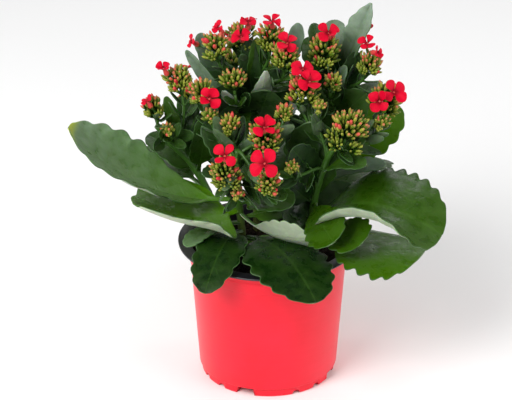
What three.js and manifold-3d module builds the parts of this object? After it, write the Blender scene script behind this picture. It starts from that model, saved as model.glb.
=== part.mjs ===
// A kalanchoe in a 12 cm nursery pot: a thin two-tone pot, its potting mix, five leafy shoots, and
// their heads of buds and four-petalled blooms. Millimetres, +Z up, the base of the pot at z = 0 with
// its centre at the origin. The side with the broad hanging leaf in front faces -Y.
import * as THREE from 'three';
import { mergeVertices } from 'three/addons/utils/BufferGeometryUtils.js';
import Module from 'manifold-3d';

const wasm = await Module();
wasm.setup();

// ---- driving dimensions ------------------------------------------------------------------------
const GAP = 0.35;                 // clearance between two pieces that touch on the real plant

const POT_HEIGHT = 96;
const LIP_RADIUS = 60;            // a 12 cm pot across its lip
const LIP_THICKNESS = 1.3;
const WALL = 1.3;
const BODY_TOP_RADIUS = 52.8;
const BODY_BASE_RADIUS = 46;
const FOOT_HEIGHT = 5.4;          // the raised underside between the feet
const FOOT_INSET = 1.2;
const FOOT_INNER_RADIUS = 37;
const FOOT_DRAFT = 1.5;           // how far the foot ring's inner side leans, from edge to root
const FOOT_LEDGE = 0.6;           // the rise of the small step from the foot ring to the body
const BOSS_RADIUS = 15;           // the flat centre of the underside, level with the feet
const BOSS_DRAFT = 2;
const LIP_EASING = 0.3;           // how much narrower the lip's upper edge is than its lower edge
const FLOOR_THICKNESS = 1.4;
const POT_SIDES = 30;
const DRAIN_RADIUS = 3;
const DRAIN_CIRCLE = 26;
const DRAIN_SIDES = 6;
const DRAIN_TURN = 22;            // degrees on from a deep notch
const FIRST_NOTCH = -110;         // degrees round the foot, from +X
const SHALLOW_NOTCHES = [45, 66]; // degrees on from a deep notch
const NOTCH_START = FOOT_INNER_RADIUS - 2;
const NOTCH_LENGTH = BODY_BASE_RADIUS + 4 - NOTCH_START;
const DEEP_NOTCH_WIDTH = 13;      // across the notch, at the foot ring
const DEEP_NOTCH_HEIGHT = 5.2;
const SHALLOW_NOTCH_WIDTH = 4.5;
const SHALLOW_NOTCH_HEIGHT = 2.6;

const SOIL_LEVEL = 86;
const SOIL_SIDES = 20;
const SOIL_RELIEF = 1.6;
const SOIL_RINGS = [0.97, 0.7, 0.36, 0];   // of the top, as shares of its radius
const SOIL_EDGE = 3;              // how far the mix has sunk away from the wall below its top
const ROOT_DEPTH = 34;            // how far a shoot stands in the soil

const STEM_RADIUS = 2.7;
const STEM_SIDES = 5;
const STEM_STEPS = 7;
const LEAF_ROOT = 0.9;            // how far from the middle of its stem a leaf begins
const STALK_RADIUS = 1.3;
const STALK_SIDES = 4;
const STALK_STEPS = 2;
const STALK_PULL = 0.4;           // how stiffly a flower stalk holds its direction at both ends

const BUD_RADIUS = 2;             // of the largest buds; those of a small head are slimmer
const SLIM_BUD = 0.24;            // a bud's radius in a small head, as a share of the head's radius
const BUD_SIDES = 3;
const BUD_DENSITY = 0.05;         // buds for each square millimetre of the head's radius squared
const FEWEST_BUDS = 4;
const DOME_SPAN = 1.1;            // 1 is a half ball of buds, and more goes down past its middle
const DOME_HEIGHT = 0.8;          // against its radius
const BUD_ROOT = 0.2;             // where a bud begins, from the head's heart to the bud's tip
const SHOULDER = 3.4;             // from the widest place of a largest bud to its point
const CORE_SHARE = 0.42;          // a head's core, against the dome that its buds reach
const HEART_DEPTH = 0.4;          // below the middle of a head, as a share of its radius
const FOOT_DEPTH = 1.05;
const HEAD_RISE = 0.7;            // how far a head leans from straight outwards towards upright
const CUP_RADIUS = 1.8;
const CUP_FOOT_RADIUS = 1;
const TUBE_RADIUS = 1.35;
const TUBE_FOOT_RADIUS = 1.9;
const TUBE_LENGTH = 7;
const DISH = 0.9;                 // how far a bloom's middle lies below its petals' edges
const PETAL_THICKNESS = 0.8;
const GOLDEN_TURN = Math.PI * (3 - Math.sqrt(5));

// ---- small helpers -----------------------------------------------------------------------------
const vec = (p) => new THREE.Vector3(p[0], p[1], p[2]);
const degrees = THREE.MathUtils.degToRad;

function seededRandom(seed) {
  let state = seed;
  return () => {
    state = (state * 16807) % 2147483647;
    return state / 2147483647;
  };
}

function toSolid(geometry) {
  const bare = geometry.index ? geometry.clone() : geometry;
  bare.deleteAttribute('normal');
  bare.deleteAttribute('uv');
  const merged = mergeVertices(bare, 1e-4);
  return new wasm.Manifold(new wasm.Mesh({
    numProp: 3,
    vertProperties: new Float32Array(merged.attributes.position.array),
    triVerts: new Uint32Array(merged.index.array),
  }));
}

function toGeometry(solid) {
  const mesh = solid.getMesh();
  const geometry = new THREE.BufferGeometry();
  geometry.setAttribute('position', new THREE.BufferAttribute(mesh.vertProperties, 3));
  geometry.setIndex(new THREE.BufferAttribute(mesh.triVerts, 1));
  geometry.computeVertexNormals();
  return geometry;
}

const fuse = (solids) => solids.reduce((whole, solid) => whole.add(solid));

// A geometry made along +Z, laid from one point towards another.
function aim(geometry, from, towards) {
  const turn = new THREE.Quaternion().setFromUnitVectors(
    new THREE.Vector3(0, 0, 1), towards.clone().normalize());
  return geometry.applyQuaternion(turn).translate(from.x, from.y, from.z);
}

// A round rod of few sides along a curve.
function rod(curve, radius, sides, steps) {
  const section = new THREE.Shape();
  for (let i = 0; i < sides; i += 1) {
    const angle = (2 * Math.PI * i) / sides;
    const corner = [radius * Math.cos(angle), radius * Math.sin(angle)];
    if (i === 0) section.moveTo(...corner);
    else section.lineTo(...corner);
  }
  const options = { steps, bevelEnabled: false, extrudePath: curve };
  return toSolid(new THREE.ExtrudeGeometry(section, options));
}

// ---- pot ---------------------------------------------------------------------------------------
const bodyRadius = (z) => BODY_BASE_RADIUS + ((BODY_TOP_RADIUS - BODY_BASE_RADIUS) * z) / POT_HEIGHT;

function lathe(profile, sides) {
  return toSolid(new THREE.LatheGeometry(profile.map(([r, z]) => new THREE.Vector2(r, z)), sides)
    .rotateX(Math.PI / 2));
}

// What a notch takes out of the foot ring.
function notch(angle, width, height) {
  return toSolid(new THREE.BoxGeometry(NOTCH_LENGTH, width, 2 * height)
    .translate(NOTCH_START + NOTCH_LENGTH / 2, 0, 0)
    .rotateZ(angle));
}

function makePot() {
  const floor = FOOT_HEIGHT + FLOOR_THICKNESS;
  const footRadius = bodyRadius(0) - FOOT_INSET;
  let pot = lathe([
    [0, 0],
    [BOSS_RADIUS, 0],
    [BOSS_RADIUS + BOSS_DRAFT, FOOT_HEIGHT],
    [FOOT_INNER_RADIUS, FOOT_HEIGHT],
    [FOOT_INNER_RADIUS + FOOT_DRAFT, 0],
    [footRadius, 0],
    [footRadius, FOOT_HEIGHT],
    [bodyRadius(FOOT_HEIGHT), FOOT_HEIGHT + FOOT_LEDGE],
    [bodyRadius(POT_HEIGHT), POT_HEIGHT - LIP_THICKNESS],
    [LIP_RADIUS, POT_HEIGHT - LIP_THICKNESS],
    [LIP_RADIUS - LIP_EASING, POT_HEIGHT],
    [bodyRadius(POT_HEIGHT) - WALL, POT_HEIGHT],
    [bodyRadius(floor) - WALL, floor],
    [0, floor],
  ], POT_SIDES);
  // The foot ring is broken by four deep notches, each followed by two shallow ones.
  for (let quarter = 0; quarter < 4; quarter += 1) {
    const deep = degrees(FIRST_NOTCH + 90 * quarter);
    pot = pot.subtract(notch(deep, DEEP_NOTCH_WIDTH, DEEP_NOTCH_HEIGHT));
    for (const step of SHALLOW_NOTCHES) {
      pot = pot.subtract(notch(deep + degrees(step), SHALLOW_NOTCH_WIDTH, SHALLOW_NOTCH_HEIGHT));
    }
    const drain = new THREE.CylinderGeometry(DRAIN_RADIUS, DRAIN_RADIUS, 4 * FLOOR_THICKNESS, DRAIN_SIDES)
      .rotateX(Math.PI / 2)
      .translate(DRAIN_CIRCLE, 0, FOOT_HEIGHT)
      .rotateZ(deep + degrees(DRAIN_TURN));
    pot = pot.subtract(toSolid(drain));
  }
  return pot;
}

// ---- potting mix -------------------------------------------------------------------------------
function makeSoil(shoots) {
  const bottom = FOOT_HEIGHT + FLOOR_THICKNESS + GAP;
  const innerRadius = (z) => bodyRadius(z) * Math.cos(Math.PI / POT_SIDES) - WALL - GAP;
  const profile = [
    [0, bottom],
    [innerRadius(bottom) - GAP, bottom],
    [innerRadius(SOIL_LEVEL) - GAP, SOIL_LEVEL - SOIL_EDGE],
    ...SOIL_RINGS.map((share) => [share * innerRadius(SOIL_LEVEL), SOIL_LEVEL]),
  ];
  const geometry = new THREE.LatheGeometry(
    profile.map(([r, z]) => new THREE.Vector2(r, z)), SOIL_SIDES).rotateX(Math.PI / 2);
  const place = geometry.attributes.position;
  for (let i = 0; i < place.count; i += 1) {
    const [x, y, z] = [place.getX(i), place.getY(i), place.getZ(i)];
    if (z > SOIL_LEVEL - 1) {
      const relief = Math.sin(0.31 * x + 1) * Math.cos(0.27 * y) + 0.6 * Math.sin(0.71 * x - 0.53 * y);
      place.setZ(i, SOIL_LEVEL + SOIL_RELIEF * relief);
    }
  }
  let soil = toSolid(geometry);
  const hole = (STEM_RADIUS + GAP) / Math.cos(Math.PI / STEM_SIDES);
  const holeBottom = SOIL_LEVEL - ROOT_DEPTH - GAP;
  const holeTop = POT_HEIGHT;
  for (const shoot of shoots) {
    const [x, y] = shoot.root;
    soil = soil.subtract(toSolid(
      new THREE.CylinderGeometry(hole, hole, holeTop - holeBottom, STEM_SIDES)
        .rotateX(Math.PI / 2)
        .translate(x, y, (holeTop + holeBottom) / 2)));
  }
  return soil;
}

// ---- leaves ------------------------------------------------------------------------------------
// A leaf is a fleshy blade on a short stalk. It runs from a point on its stem to its tip, bows by
// `arch` towards the side that it faces, and each half is rolled up (or down) by an angle: `left`
// and `right` are as seen from the stem, looking along the leaf with its face up.
const LEAF = {
  faces: [0, 0, 1], width: 24, arch: 4, left: 20, right: 20, twist: 0, teeth: 4, stalk: 0.2,
  bulk: 1.5, cols: 2, cut: 0.09, broad: 0.88, point: 0,
};
const STALK_WIDTH = 2.2;          // of a leaf, against its thickness at the blade's root
const STALK_THICKENING = 0.9;     // how much thicker the stalk is where it leaves the stem
const TIP_THINNING = 0.25;

// The half width of a blade along its length, from 0 to 1. `broad` above 1 has it widest past the
// middle, and `point` from 0 to 1 draws the round tip out to a point.
function bladeShape(leaf, q) {
  const oval = Math.sqrt(Math.max(1 - Math.pow(Math.abs(2 * Math.pow(q, leaf.broad) - 1), 2.3), 0));
  return oval * (1 - leaf.point * q * q);
}

function leafFrame(leaf, base) {
  const chord = vec(leaf.tip).sub(base);
  const along = chord.clone().normalize();
  const face = vec(leaf.faces);
  face.addScaledVector(along, -face.dot(along)).normalize();
  const side = face.clone().cross(along);
  return { chord, along, face, side, length: chord.length() };
}

// One point of a leaf: u runs from stem to tip, v from the right edge (-1) to the left edge (1).
function leafPoint(leaf, base, frame, u, v, edge, level) {
  const q = Math.max((u - leaf.stalk) / (1 - leaf.stalk), 0);
  const stalkHalf = (STALK_WIDTH * leaf.bulk) / 2;
  const half = (leaf.width / 2) * bladeShape(leaf, q) * (Math.abs(v) > 0.9 ? edge : 1)
    + stalkHalf * (1 - 0.6 * q);
  const slope = (leaf.arch * 4 * (1 - 2 * u)) / frame.length;
  const up = frame.face.clone().addScaledVector(frame.along, -slope).normalize();
  const twist = degrees(leaf.twist) * (u - 0.5);
  const turn = new THREE.Quaternion().setFromAxisAngle(frame.along, twist);
  up.applyQuaternion(turn);
  const side = frame.side.clone().applyQuaternion(turn);
  const roll = degrees((v > 0 ? leaf.left : leaf.right) || 1) * (0.25 + 0.75 * Math.sin(Math.PI * q));
  const bend = roll * Math.abs(v);
  const rise = (half * (1 - Math.cos(bend))) / roll;
  const reach = (Math.sign(v) * half * Math.sin(bend)) / roll;
  const outward = up.clone().multiplyScalar(Math.cos(bend))
    .addScaledVector(side, -Math.sign(v) * Math.sin(bend));
  const thickness = leaf.bulk * (1 + STALK_THICKENING * (1 - Math.min(u / leaf.stalk, 1)))
    * (1 - TIP_THINNING * q);
  return base.clone()
    .addScaledVector(frame.chord, u)
    .addScaledVector(frame.face, leaf.arch * 4 * u * (1 - u))
    .addScaledVector(side, reach)
    .addScaledVector(up, rise)
    .addScaledVector(outward, (level * thickness) / 2);
}

function makeLeaf(given, base) {
  const leaf = { ...LEAF, ...given };
  const frame = leafFrame(leaf, base);
  const stalkRows = 1;
  const rows = stalkRows + 2 * leaf.teeth;
  const sheet = new THREE.PlaneGeometry(1, 1, rows, leaf.cols);
  const count = sheet.attributes.position.count;
  const points = [];
  for (const level of [1, -1]) {
    for (let i = 0; i < count; i += 1) {
      const row = i % (rows + 1);
      const q = 1 - Math.pow(Math.max(1 - (row - stalkRows) / (2 * leaf.teeth), 0), 1.3);
      const u = row < stalkRows ? (leaf.stalk * row) / stalkRows : leaf.stalk + (1 - leaf.stalk) * q;
      const edge = row > stalkRows && row < rows ? 1 + (row % 2 ? leaf.cut : -leaf.cut) : 1;
      const v = 2 * sheet.attributes.position.getY(i);
      points.push(...leafPoint(leaf, base, frame, u, v, edge, level).toArray());
    }
  }
  // The two faces share one pattern of triangles, and a rim joins them all round.
  const upper = Array.from(sheet.index.array);
  const faces = [...upper];
  for (let i = 0; i < upper.length; i += 3) {
    faces.push(upper[i] + count, upper[i + 2] + count, upper[i + 1] + count);
  }
  const at = (row, col) => col * (rows + 1) + row;
  const rim = [];
  for (let row = 0; row < rows; row += 1) rim.push(at(row, leaf.cols));
  for (let col = leaf.cols; col > 0; col -= 1) rim.push(at(rows, col));
  for (let row = rows; row > 0; row -= 1) rim.push(at(row, 0));
  for (let col = 0; col < leaf.cols; col += 1) rim.push(at(0, col));
  rim.forEach((a, i) => {
    const b = rim[(i + 1) % rim.length];
    faces.push(a, a + count, b + count, a, b + count, b);
  });
  const geometry = new THREE.BufferGeometry();
  geometry.setAttribute('position', new THREE.Float32BufferAttribute(points, 3));
  geometry.setIndex(faces);
  return toSolid(geometry);
}

// ---- the plant's places ------------------------------------------------------------------------
// Each shoot is a stem that rises straight out of the soil at `root` and then follows its path, and
// the leaves that sit on it. `on` is the share of the stem's length at which a leaf leaves it.
const SHOOTS = [
  {
    name: 'shoot_front_left',
    root: [-17, 6],
    path: [[-19, 3, 115], [-20, -8, 140], [-20, -20, 160], [-20, -26, 172]],
    leaves: [
      // the long leaf to the left, the rolled one under it, and the ones that hang near the lip
      { on: 0.58, tip: [-130, -1, 177], faces: [0.69, 0.1, 0.72], width: 66, arch: -16, left: 25,
        right: 62, teeth: 5, twist: -3, stalk: 0.15, broad: 1.45 },
      { on: 0.5, tip: [-84, -28, 133], faces: [0.47, 0.19, 0.86], width: 84, arch: -7, left: 38,
        right: 23, twist: 27, stalk: 0.11, broad: 0.84, cols: 4 },
      { on: 0.37, tip: [-41, -67, 90], width: 29, arch: 12, left: 8, right: 8, stalk: 0.24 },
      { on: 0.42, tip: [-54, -32, 106], faces: [-0.3, -0.2, 1], width: 15, teeth: 3, stalk: 0.5 },
      { on: 0.48, tip: [26, -35, 114], faces: [0.35, 0.79, 0.5], width: 27, arch: -6, left: 49,
        right: 17, teeth: 3, stalk: 0.3, broad: 1.8, twist: -11 },
      { on: 0.33, tip: [30, -76, 88], faces: [-0.05, 0.15, 1], width: 52, arch: 14, left: -10,
        right: -12, teeth: 5, stalk: 0.24 },
      { on: 0.55, tip: [16, -27, 134], faces: [0.1, -0.5, 1], width: 24, teeth: 3, stalk: 0.24 },
      // small ones under the front heads
      { on: 0.7, tip: [9, -52, 149], faces: [0.3, -0.3, 1], width: 18, teeth: 2, bulk: 1.2 },
      { on: 0.66, tip: [-18, -46, 146], faces: [0.4, -0.6, 0.7], width: 13, teeth: 2, bulk: 1.2 },
      { on: 0.75, tip: [-42, -34, 158], faces: [0, -0.4, 1], width: 14, teeth: 2, bulk: 1.2 },
      { on: 0.79, tip: [-42, -14, 186], faces: [0.4, -0.8, 0.3], width: 17, teeth: 2, bulk: 1.2 },
      { on: 0.84, tip: [0, -20, 180], faces: [-0.3, -0.9, 0.3], width: 16, teeth: 2, bulk: 1.2 },
      { on: 0.62, tip: [-37, -16, 152], faces: [0.3, -0.8, 0.4], width: 13, teeth: 2, bulk: 1.2 },
    ],
  },
  {
    name: 'shoot_right',
    root: [26, 0],
    path: [[29, -2, 116], [33, -6, 140], [38, -10, 158], [42, -14, 168]],
    leaves: [
      // the two broad leaves to the right and the two in front of them
      { on: 0.47, tip: [112, -40, 118], faces: [0.38, -0.44, 0.81], width: 86, arch: 22, left: -20,
        right: 77, teeth: 6, stalk: 0.1, cols: 4, broad: 1.24, twist: -3 },
      { on: 0.4, tip: [102, -31, 102], faces: [0.17, -0.05, 0.98], width: 92, arch: 4, left: -71,
        right: -6, teeth: 5, stalk: 0.28, twist: 10, broad: 1.06 },
      { on: 0.44, tip: [59, -54, 119], faces: [-0.09, -0.47, 0.88], width: 31, arch: 5, left: 16,
        right: 28, teeth: 3, stalk: 0.44, broad: 1.7, twist: 9 },
      { on: 0.6, tip: [41, -62, 124], faces: [-0.4, -0.66, 0.63], width: 27, arch: 4, left: -3,
        right: 6, stalk: 0.2, broad: 1.7, twist: -4 },
      // the tall one that stands behind the front heads, and a smaller one before it
      { on: 0.55, tip: [29, -10, 185], faces: [0, -1, 0.05], width: 33, arch: -2, left: 20,
        right: 17, teeth: 3, stalk: 0.16, twist: -8, broad: 1.34 },
      { on: 0.74, tip: [15, -32, 176], faces: [0.14, -0.82, 0.55], width: 21, stalk: 0.14, twist: -12,
        arch: 1, broad: 1.1, bulk: 1.2 },
      { on: 0.82, tip: [62, -34, 165], faces: [0.2, -0.5, 1], width: 16, teeth: 2, bulk: 1.2 },
      { on: 0.95, tip: [64, -8, 178], faces: [-0.2, -0.8, 0.6], width: 14, teeth: 2, bulk: 1.2 },
      { on: 0.6, tip: [11, -2, 142], faces: [-0.2, -1, 0.1], width: 20, teeth: 2, bulk: 1.2 },
      { on: 0.86, tip: [11, 2, 184], faces: [-0.2, -1, 0.2], width: 19, teeth: 2, bulk: 1.2 },
    ],
  },
  {
    name: 'shoot_back_right',
    root: [22, 28],
    path: [[30, 31, 120], [40, 34, 150], [46, 38, 178], [48, 40, 194]],
    leaves: [
      { on: 0.58, tip: [87, 25, 180], faces: [0.4, -0.9, 0.18], width: 32, arch: 3, twist: -12, right: 29,
        teeth: 3 },
      { on: 0.5, tip: [78, 14, 143], faces: [0.1, -0.4, 1], width: 14, teeth: 3 },
      { on: 0.36, tip: [80, 88, 112], faces: [0, 0.1, 1], width: 46, arch: 10, left: 14, right: 10,
        teeth: 4 },
      { on: 0.42, tip: [38, 112, 134], faces: [0, 0.1, 1], width: 42, arch: 10, teeth: 4 },
      { on: 0.75, tip: [76, 56, 185], faces: [-0.5, 0, 0.8], width: 22, teeth: 3 },
      { on: 0.95, tip: [67, 44, 246], faces: [-0.42, -0.87, 0.27], width: 27, arch: 4, left: 9,
        right: 66, teeth: 3, stalk: 0.26, broad: 2.6, point: 0.9 },
      { on: 0.99, tip: [43, 57, 229], faces: [-0.17, -0.98, 0.08], width: 17, arch: 5, teeth: 2, broad: 1.2,
        bulk: 1.2 },
      { on: 0.84, tip: [40, 88, 174], faces: [0, 0.5, 1], width: 20, teeth: 2, bulk: 1.2 },
      { on: 0.8, tip: [64, 16, 194], faces: [0, -0.9, 0.4], width: 22, teeth: 2, bulk: 1.2 },
      { on: 0.7, tip: [26, 8, 186], faces: [-0.2, -0.9, 0.4], width: 32, teeth: 2, bulk: 1.2 },
      { on: 0.93, tip: [25, 48, 220], faces: [-0.3, -1, 0.2], width: 16, teeth: 2, bulk: 1.2 },
      { on: 0.86, tip: [58, 36, 215], faces: [0.3, -1, 0.1], width: 15, teeth: 2, bulk: 1.2 },
      { on: 0.82, tip: [33, 46, 206], faces: [-0.1, -1, 0.1], width: 24, teeth: 2, bulk: 1.2 },
      { on: 0.84, tip: [51, 26, 209], faces: [-0.7, -0.6, 0.2], width: 10, teeth: 2, bulk: 1.2 },
    ],
  },
  {
    name: 'shoot_back',
    root: [-8, 32],
    path: [[-8, 36, 125], [-10, 38, 160], [-12, 38, 186]],
    leaves: [
      { on: 0.38, tip: [-14, 116, 118], faces: [0, 0.1, 1], width: 50, arch: 12, left: 10, right: 12,
        teeth: 4 },
      { on: 0.44, tip: [-50, 101, 122], faces: [0, 0.1, 1], width: 44, arch: 12, teeth: 4 },
      { on: 0.7, tip: [-36, 88, 160], faces: [0, -0.6, 0.8], width: 28, teeth: 3 },
      { on: 0.74, tip: [16, 84, 160], faces: [-0.2, -0.6, 0.8], width: 24, teeth: 3 },
      { on: 0.95, tip: [21, 58, 226], faces: [0.23, -0.94, -0.24], width: 14, arch: 8, teeth: 2, broad: 1.5,
        bulk: 1.2 },
      { on: 0.91, tip: [-46, 43, 225], faces: [-0.17, -0.98, -0.08], width: 14, arch: 7, right: 44, teeth: 2,
        broad: 1.6, bulk: 1.2 },
      { on: 0.86, tip: [-54, 26, 220], faces: [-0.05, -0.99, -0.1], width: 8, arch: 9, right: 40, teeth: 2,
        bulk: 1.2 },
      { on: 0.82, tip: [0, 6, 200], faces: [0.1, -0.9, 0.4], width: 28, teeth: 2, bulk: 1.2 },
      { on: 0.84, tip: [-38, 10, 196], faces: [0.1, -0.9, 0.4], width: 27, teeth: 2, bulk: 1.2 },
      { on: 0.92, tip: [-2, 2, 216], faces: [-0.3, 0.7, 0.8], width: 15, arch: -5, point: 0.6,
        teeth: 2, bulk: 1.2 },
      { on: 0.88, tip: [-29, 2, 202], faces: [0.2, 0.6, 0.9], width: 14, arch: -4, point: 0.4, teeth: 2,
        bulk: 1.2 },
      { on: 0.9, tip: [15, 30, 202], faces: [0.1, -1, 0.3], width: 24, teeth: 2, bulk: 1.2 },
      { on: 0.97, tip: [-8, 30, 227], faces: [0.2, -1, 0.1], width: 9, teeth: 2, bulk: 1.2 },
    ],
  },
  {
    name: 'shoot_left',
    root: [-34, 22],
    path: [[-40, 24, 118], [-52, 22, 141], [-64, 16, 158], [-73, 10, 173]],
    leaves: [
      { on: 0.6, tip: [-81, 42, 152], faces: [0.3, -0.5, 0.9], width: 22, teeth: 3 },
      { on: 0.86, tip: [-62, 4, 178], faces: [0.2, -0.9, 0.2], width: 11, teeth: 2, bulk: 1.2 },
      { on: 0.5, tip: [-104, 68, 123], faces: [0.1, 0.1, 1], width: 44, arch: 10, left: 12,
        right: 16, teeth: 4 },
      { on: 0.8, tip: [-67, 8, 195], faces: [0.3, -0.9, 0.2], width: 8, teeth: 2, bulk: 1.2 },
      { on: 0.62, tip: [-44, 78, 144], faces: [0, 0.4, 1], width: 24, teeth: 3 },
      { on: 0.63, tip: [-42, 6, 182], faces: [0.3, -0.9, 0.2], width: 17, teeth: 2, bulk: 1.2 },
      { on: 0.6, tip: [-58, 30, 186], faces: [0.2, -1, 0.1], width: 11, teeth: 2, bulk: 1.2 },
    ],
  },
];

// A head is a dome of buds of the given radius about `at`, on a stalk from its shoot.
const HEADS = [
  { name: 'head_left_low', shoot: 'shoot_left', on: 0.98, at: [-76, 5, 191], radius: 8 },
  { name: 'head_left_side', shoot: 'shoot_left', on: 0.88, at: [-66, -8, 180], radius: 5 },
  { name: 'head_left', shoot: 'shoot_left', on: 0.7, at: [-60, 12, 208], radius: 10 },
  { name: 'head_left_back', shoot: 'shoot_left', on: 0.66, at: [-51, 50, 178], radius: 11 },
  { name: 'head_top_left', shoot: 'shoot_back', on: 0.92, at: [-35, 22, 228], radius: 10 },
  { name: 'head_top', shoot: 'shoot_back', on: 0.98, at: [-18, 38, 228], radius: 11 },
  { name: 'head_back', shoot: 'shoot_back', on: 0.9, at: [-26, 66, 196], radius: 12 },
  { name: 'head_back_low', shoot: 'shoot_back', on: 0.78, at: [2, 90, 182], radius: 11 },
  { name: 'head_top_middle', shoot: 'shoot_back', on: 0.95, at: [1, 27, 232], radius: 10 },
  { name: 'head_top_centre', shoot: 'shoot_back', on: 0.93, at: [11, 12, 224], radius: 10 },
  { name: 'head_middle_left', shoot: 'shoot_back', on: 0.86, at: [-23, 2, 209], radius: 10 },
  { name: 'head_top_right', shoot: 'shoot_back_right', on: 0.99, at: [37, 27, 222], radius: 12 },
  { name: 'head_right_high', shoot: 'shoot_back_right', on: 0.9, at: [67, 26, 213], radius: 9 },
  { name: 'head_back_right', shoot: 'shoot_back_right', on: 0.86, at: [55, 68, 194], radius: 13 },
  { name: 'head_right_side', shoot: 'shoot_back_right', on: 0.7, at: [77, 4, 197], radius: 12 },
  { name: 'head_right_inner', shoot: 'shoot_back_right', on: 0.8, at: [42, 10, 206], radius: 7 },
  { name: 'head_centre_right', shoot: 'shoot_right', on: 0.9, at: [23, -6, 209], radius: 12 },
  { name: 'head_right', shoot: 'shoot_right', on: 0.99, at: [52, -26, 189], radius: 14 },
  { name: 'head_right_low', shoot: 'shoot_right', on: 0.94, at: [74, -12, 187], radius: 6 },
  { name: 'head_inner_right', shoot: 'shoot_right', on: 0.86, at: [33, -14, 199], radius: 5 },
  { name: 'head_front_right', shoot: 'shoot_right', on: 0.8, at: [15, -38, 167], radius: 5 },
  { name: 'head_centre_back', shoot: 'shoot_front_left', on: 0.93, at: [10, -12, 194], radius: 7 },
  { name: 'head_centre', shoot: 'shoot_front_left', on: 0.9, at: [-2, -34, 189], radius: 12 },
  { name: 'head_front', shoot: 'shoot_front_left', on: 0.98, at: [0, -54, 165], radius: 9 },
  { name: 'head_front_left', shoot: 'shoot_front_left', on: 0.96, at: [-28, -46, 168], radius: 11 },
  { name: 'head_front_low', shoot: 'shoot_front_left', on: 0.88, at: [-20, -46, 152], radius: 5 },
  { name: 'head_left_middle', shoot: 'shoot_front_left', on: 0.86, at: [-44, -8, 208], radius: 9 },
  { name: 'head_left_lower', shoot: 'shoot_front_left', on: 0.82, at: [-38, -16, 193], radius: 6 },
  { name: 'head_left_inner', shoot: 'shoot_front_left', on: 0.92, at: [-25, -22, 190], radius: 8 },
];

// A bloom faces the way its middle looks; `size` is the diameter over its petals.
const BLOOMS = [
  { name: 'bloom_left_low', head: 'head_left_low', at: [-79, 0, 196], faces: [-0.5, -0.3, 1], size: 9 },
  { name: 'bloom_left', head: 'head_left', at: [-68, 6, 216], faces: [-0.4, -0.4, 1], size: 11 },
  { name: 'bloom_far_left', head: 'head_top_left', at: [-51, 27, 226], faces: [-1, -0.4, 0.7], size: 9 },
  { name: 'bloom_top_end', head: 'head_top_left', at: [-33, 27, 236], faces: [-0.6, -0.4, 1], size: 9 },
  { name: 'bloom_top_left', head: 'head_top', at: [-18, 24, 231], faces: [-0.2, -0.7, 1], size: 14 },
  { name: 'bloom_top', head: 'head_top', at: [-13, 36, 237], faces: [0, -0.1, 1], size: 12 },
  { name: 'bloom_top_middle', head: 'head_top_middle', at: [2, 26, 241], faces: [-0.1, -0.3, 1], size: 14 },
  { name: 'bloom_top_front', head: 'head_top_centre', at: [12, 8, 233], faces: [0.1, -0.6, 1], size: 15 },
  { name: 'bloom_top_right', head: 'head_top_right', at: [39, 25, 233], faces: [0, -0.5, 1], size: 16 },
  { name: 'bloom_right_high', head: 'head_right_high', at: [64, 22, 227], faces: [0, -0.7, 0.7], size: 12 },
  { name: 'bloom_right_end', head: 'head_right_high', at: [71, 14, 224], faces: [0.6, -0.7, 0.4], size: 9 },
  { name: 'bloom_centre_high', head: 'head_centre_right', at: [22, -6, 221], faces: [0, -0.4, 1], size: 16 },
  { name: 'bloom_centre_right', head: 'head_centre_right', at: [26, -17, 217], faces: [0.1, -0.8, 0.7],
    size: 16 },
  { name: 'bloom_right', head: 'head_right_side', at: [81, -5, 204], faces: [0.2, -0.8, 0.6], size: 17 },
  { name: 'bloom_right_inner', head: 'head_right_side', at: [71, -11, 200], faces: [-0.2, -0.9, 0.4],
    size: 15 },
  { name: 'bloom_left_middle', head: 'head_left_middle', at: [-38, -18, 205], faces: [0, -0.8, 0.6],
    size: 16 },
  { name: 'bloom_centre', head: 'head_centre', at: [-3, -46, 198], faces: [0, -0.6, 0.8], size: 16 },
  { name: 'bloom_front_left', head: 'head_front_left', at: [-28, -57, 183], faces: [-0.1, -0.6, 0.8],
    size: 15 },
  { name: 'bloom_front', head: 'head_front', at: [-3, -64, 181], faces: [0, -0.85, 0.6], size: 20 },
  { name: 'bloom_back', head: 'head_back', at: [-26, 75, 210], faces: [0, 0.6, 1], size: 16 },
  { name: 'bloom_back_low', head: 'head_back_low', at: [4, 105, 196], faces: [0, 0.8, 0.7], size: 16 },
  { name: 'bloom_back_right', head: 'head_back_right', at: [63, 81, 213], faces: [0.2, 0.7, 0.8], size: 17 },
  { name: 'bloom_left_back', head: 'head_left_back', at: [-56, 58, 192], faces: [-0.6, 0.5, 0.8], size: 15 },
];

// ---- heads and blooms --------------------------------------------------------------------------
const PLANT_MIDDLE = new THREE.Vector3(0, 10, 90);
// The way a head leans: out from the middle of the plant, and up.
const headAxis = (head) => vec(head.at).sub(PLANT_MIDDLE).normalize()
  .add(new THREE.Vector3(0, 0, HEAD_RISE))
  .normalize();

const headHeart = (head) => vec(head.at).addScaledVector(headAxis(head), -HEART_DEPTH * head.radius);

const headFoot = (head) => vec(head.at).addScaledVector(headAxis(head), -FOOT_DEPTH * head.radius);

// Whether a bud's upper part would touch a bloom's petals or its tube.
function meetsBloom(bloom, root, tip) {
  const away = vec(bloom.faces).normalize();
  const underPetal = DISH + PETAL_THICKNESS + 1.5;
  return [0, 3, 6, 9].some((below) => {
    const place = tip.clone().lerp(root, below / tip.distanceTo(root)).sub(vec(bloom.at));
    const height = place.dot(away);
    const aside = place.addScaledVector(away, -height).length();
    const underPetals = Math.abs(height) < underPetal && aside < bloom.size / 2 + 1.5;
    const besideTube = height < 0 && height > -TUBE_LENGTH - 1 && aside < 2 * BUD_RADIUS + 0.4;
    return underPetals || besideTube;
  });
}

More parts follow.
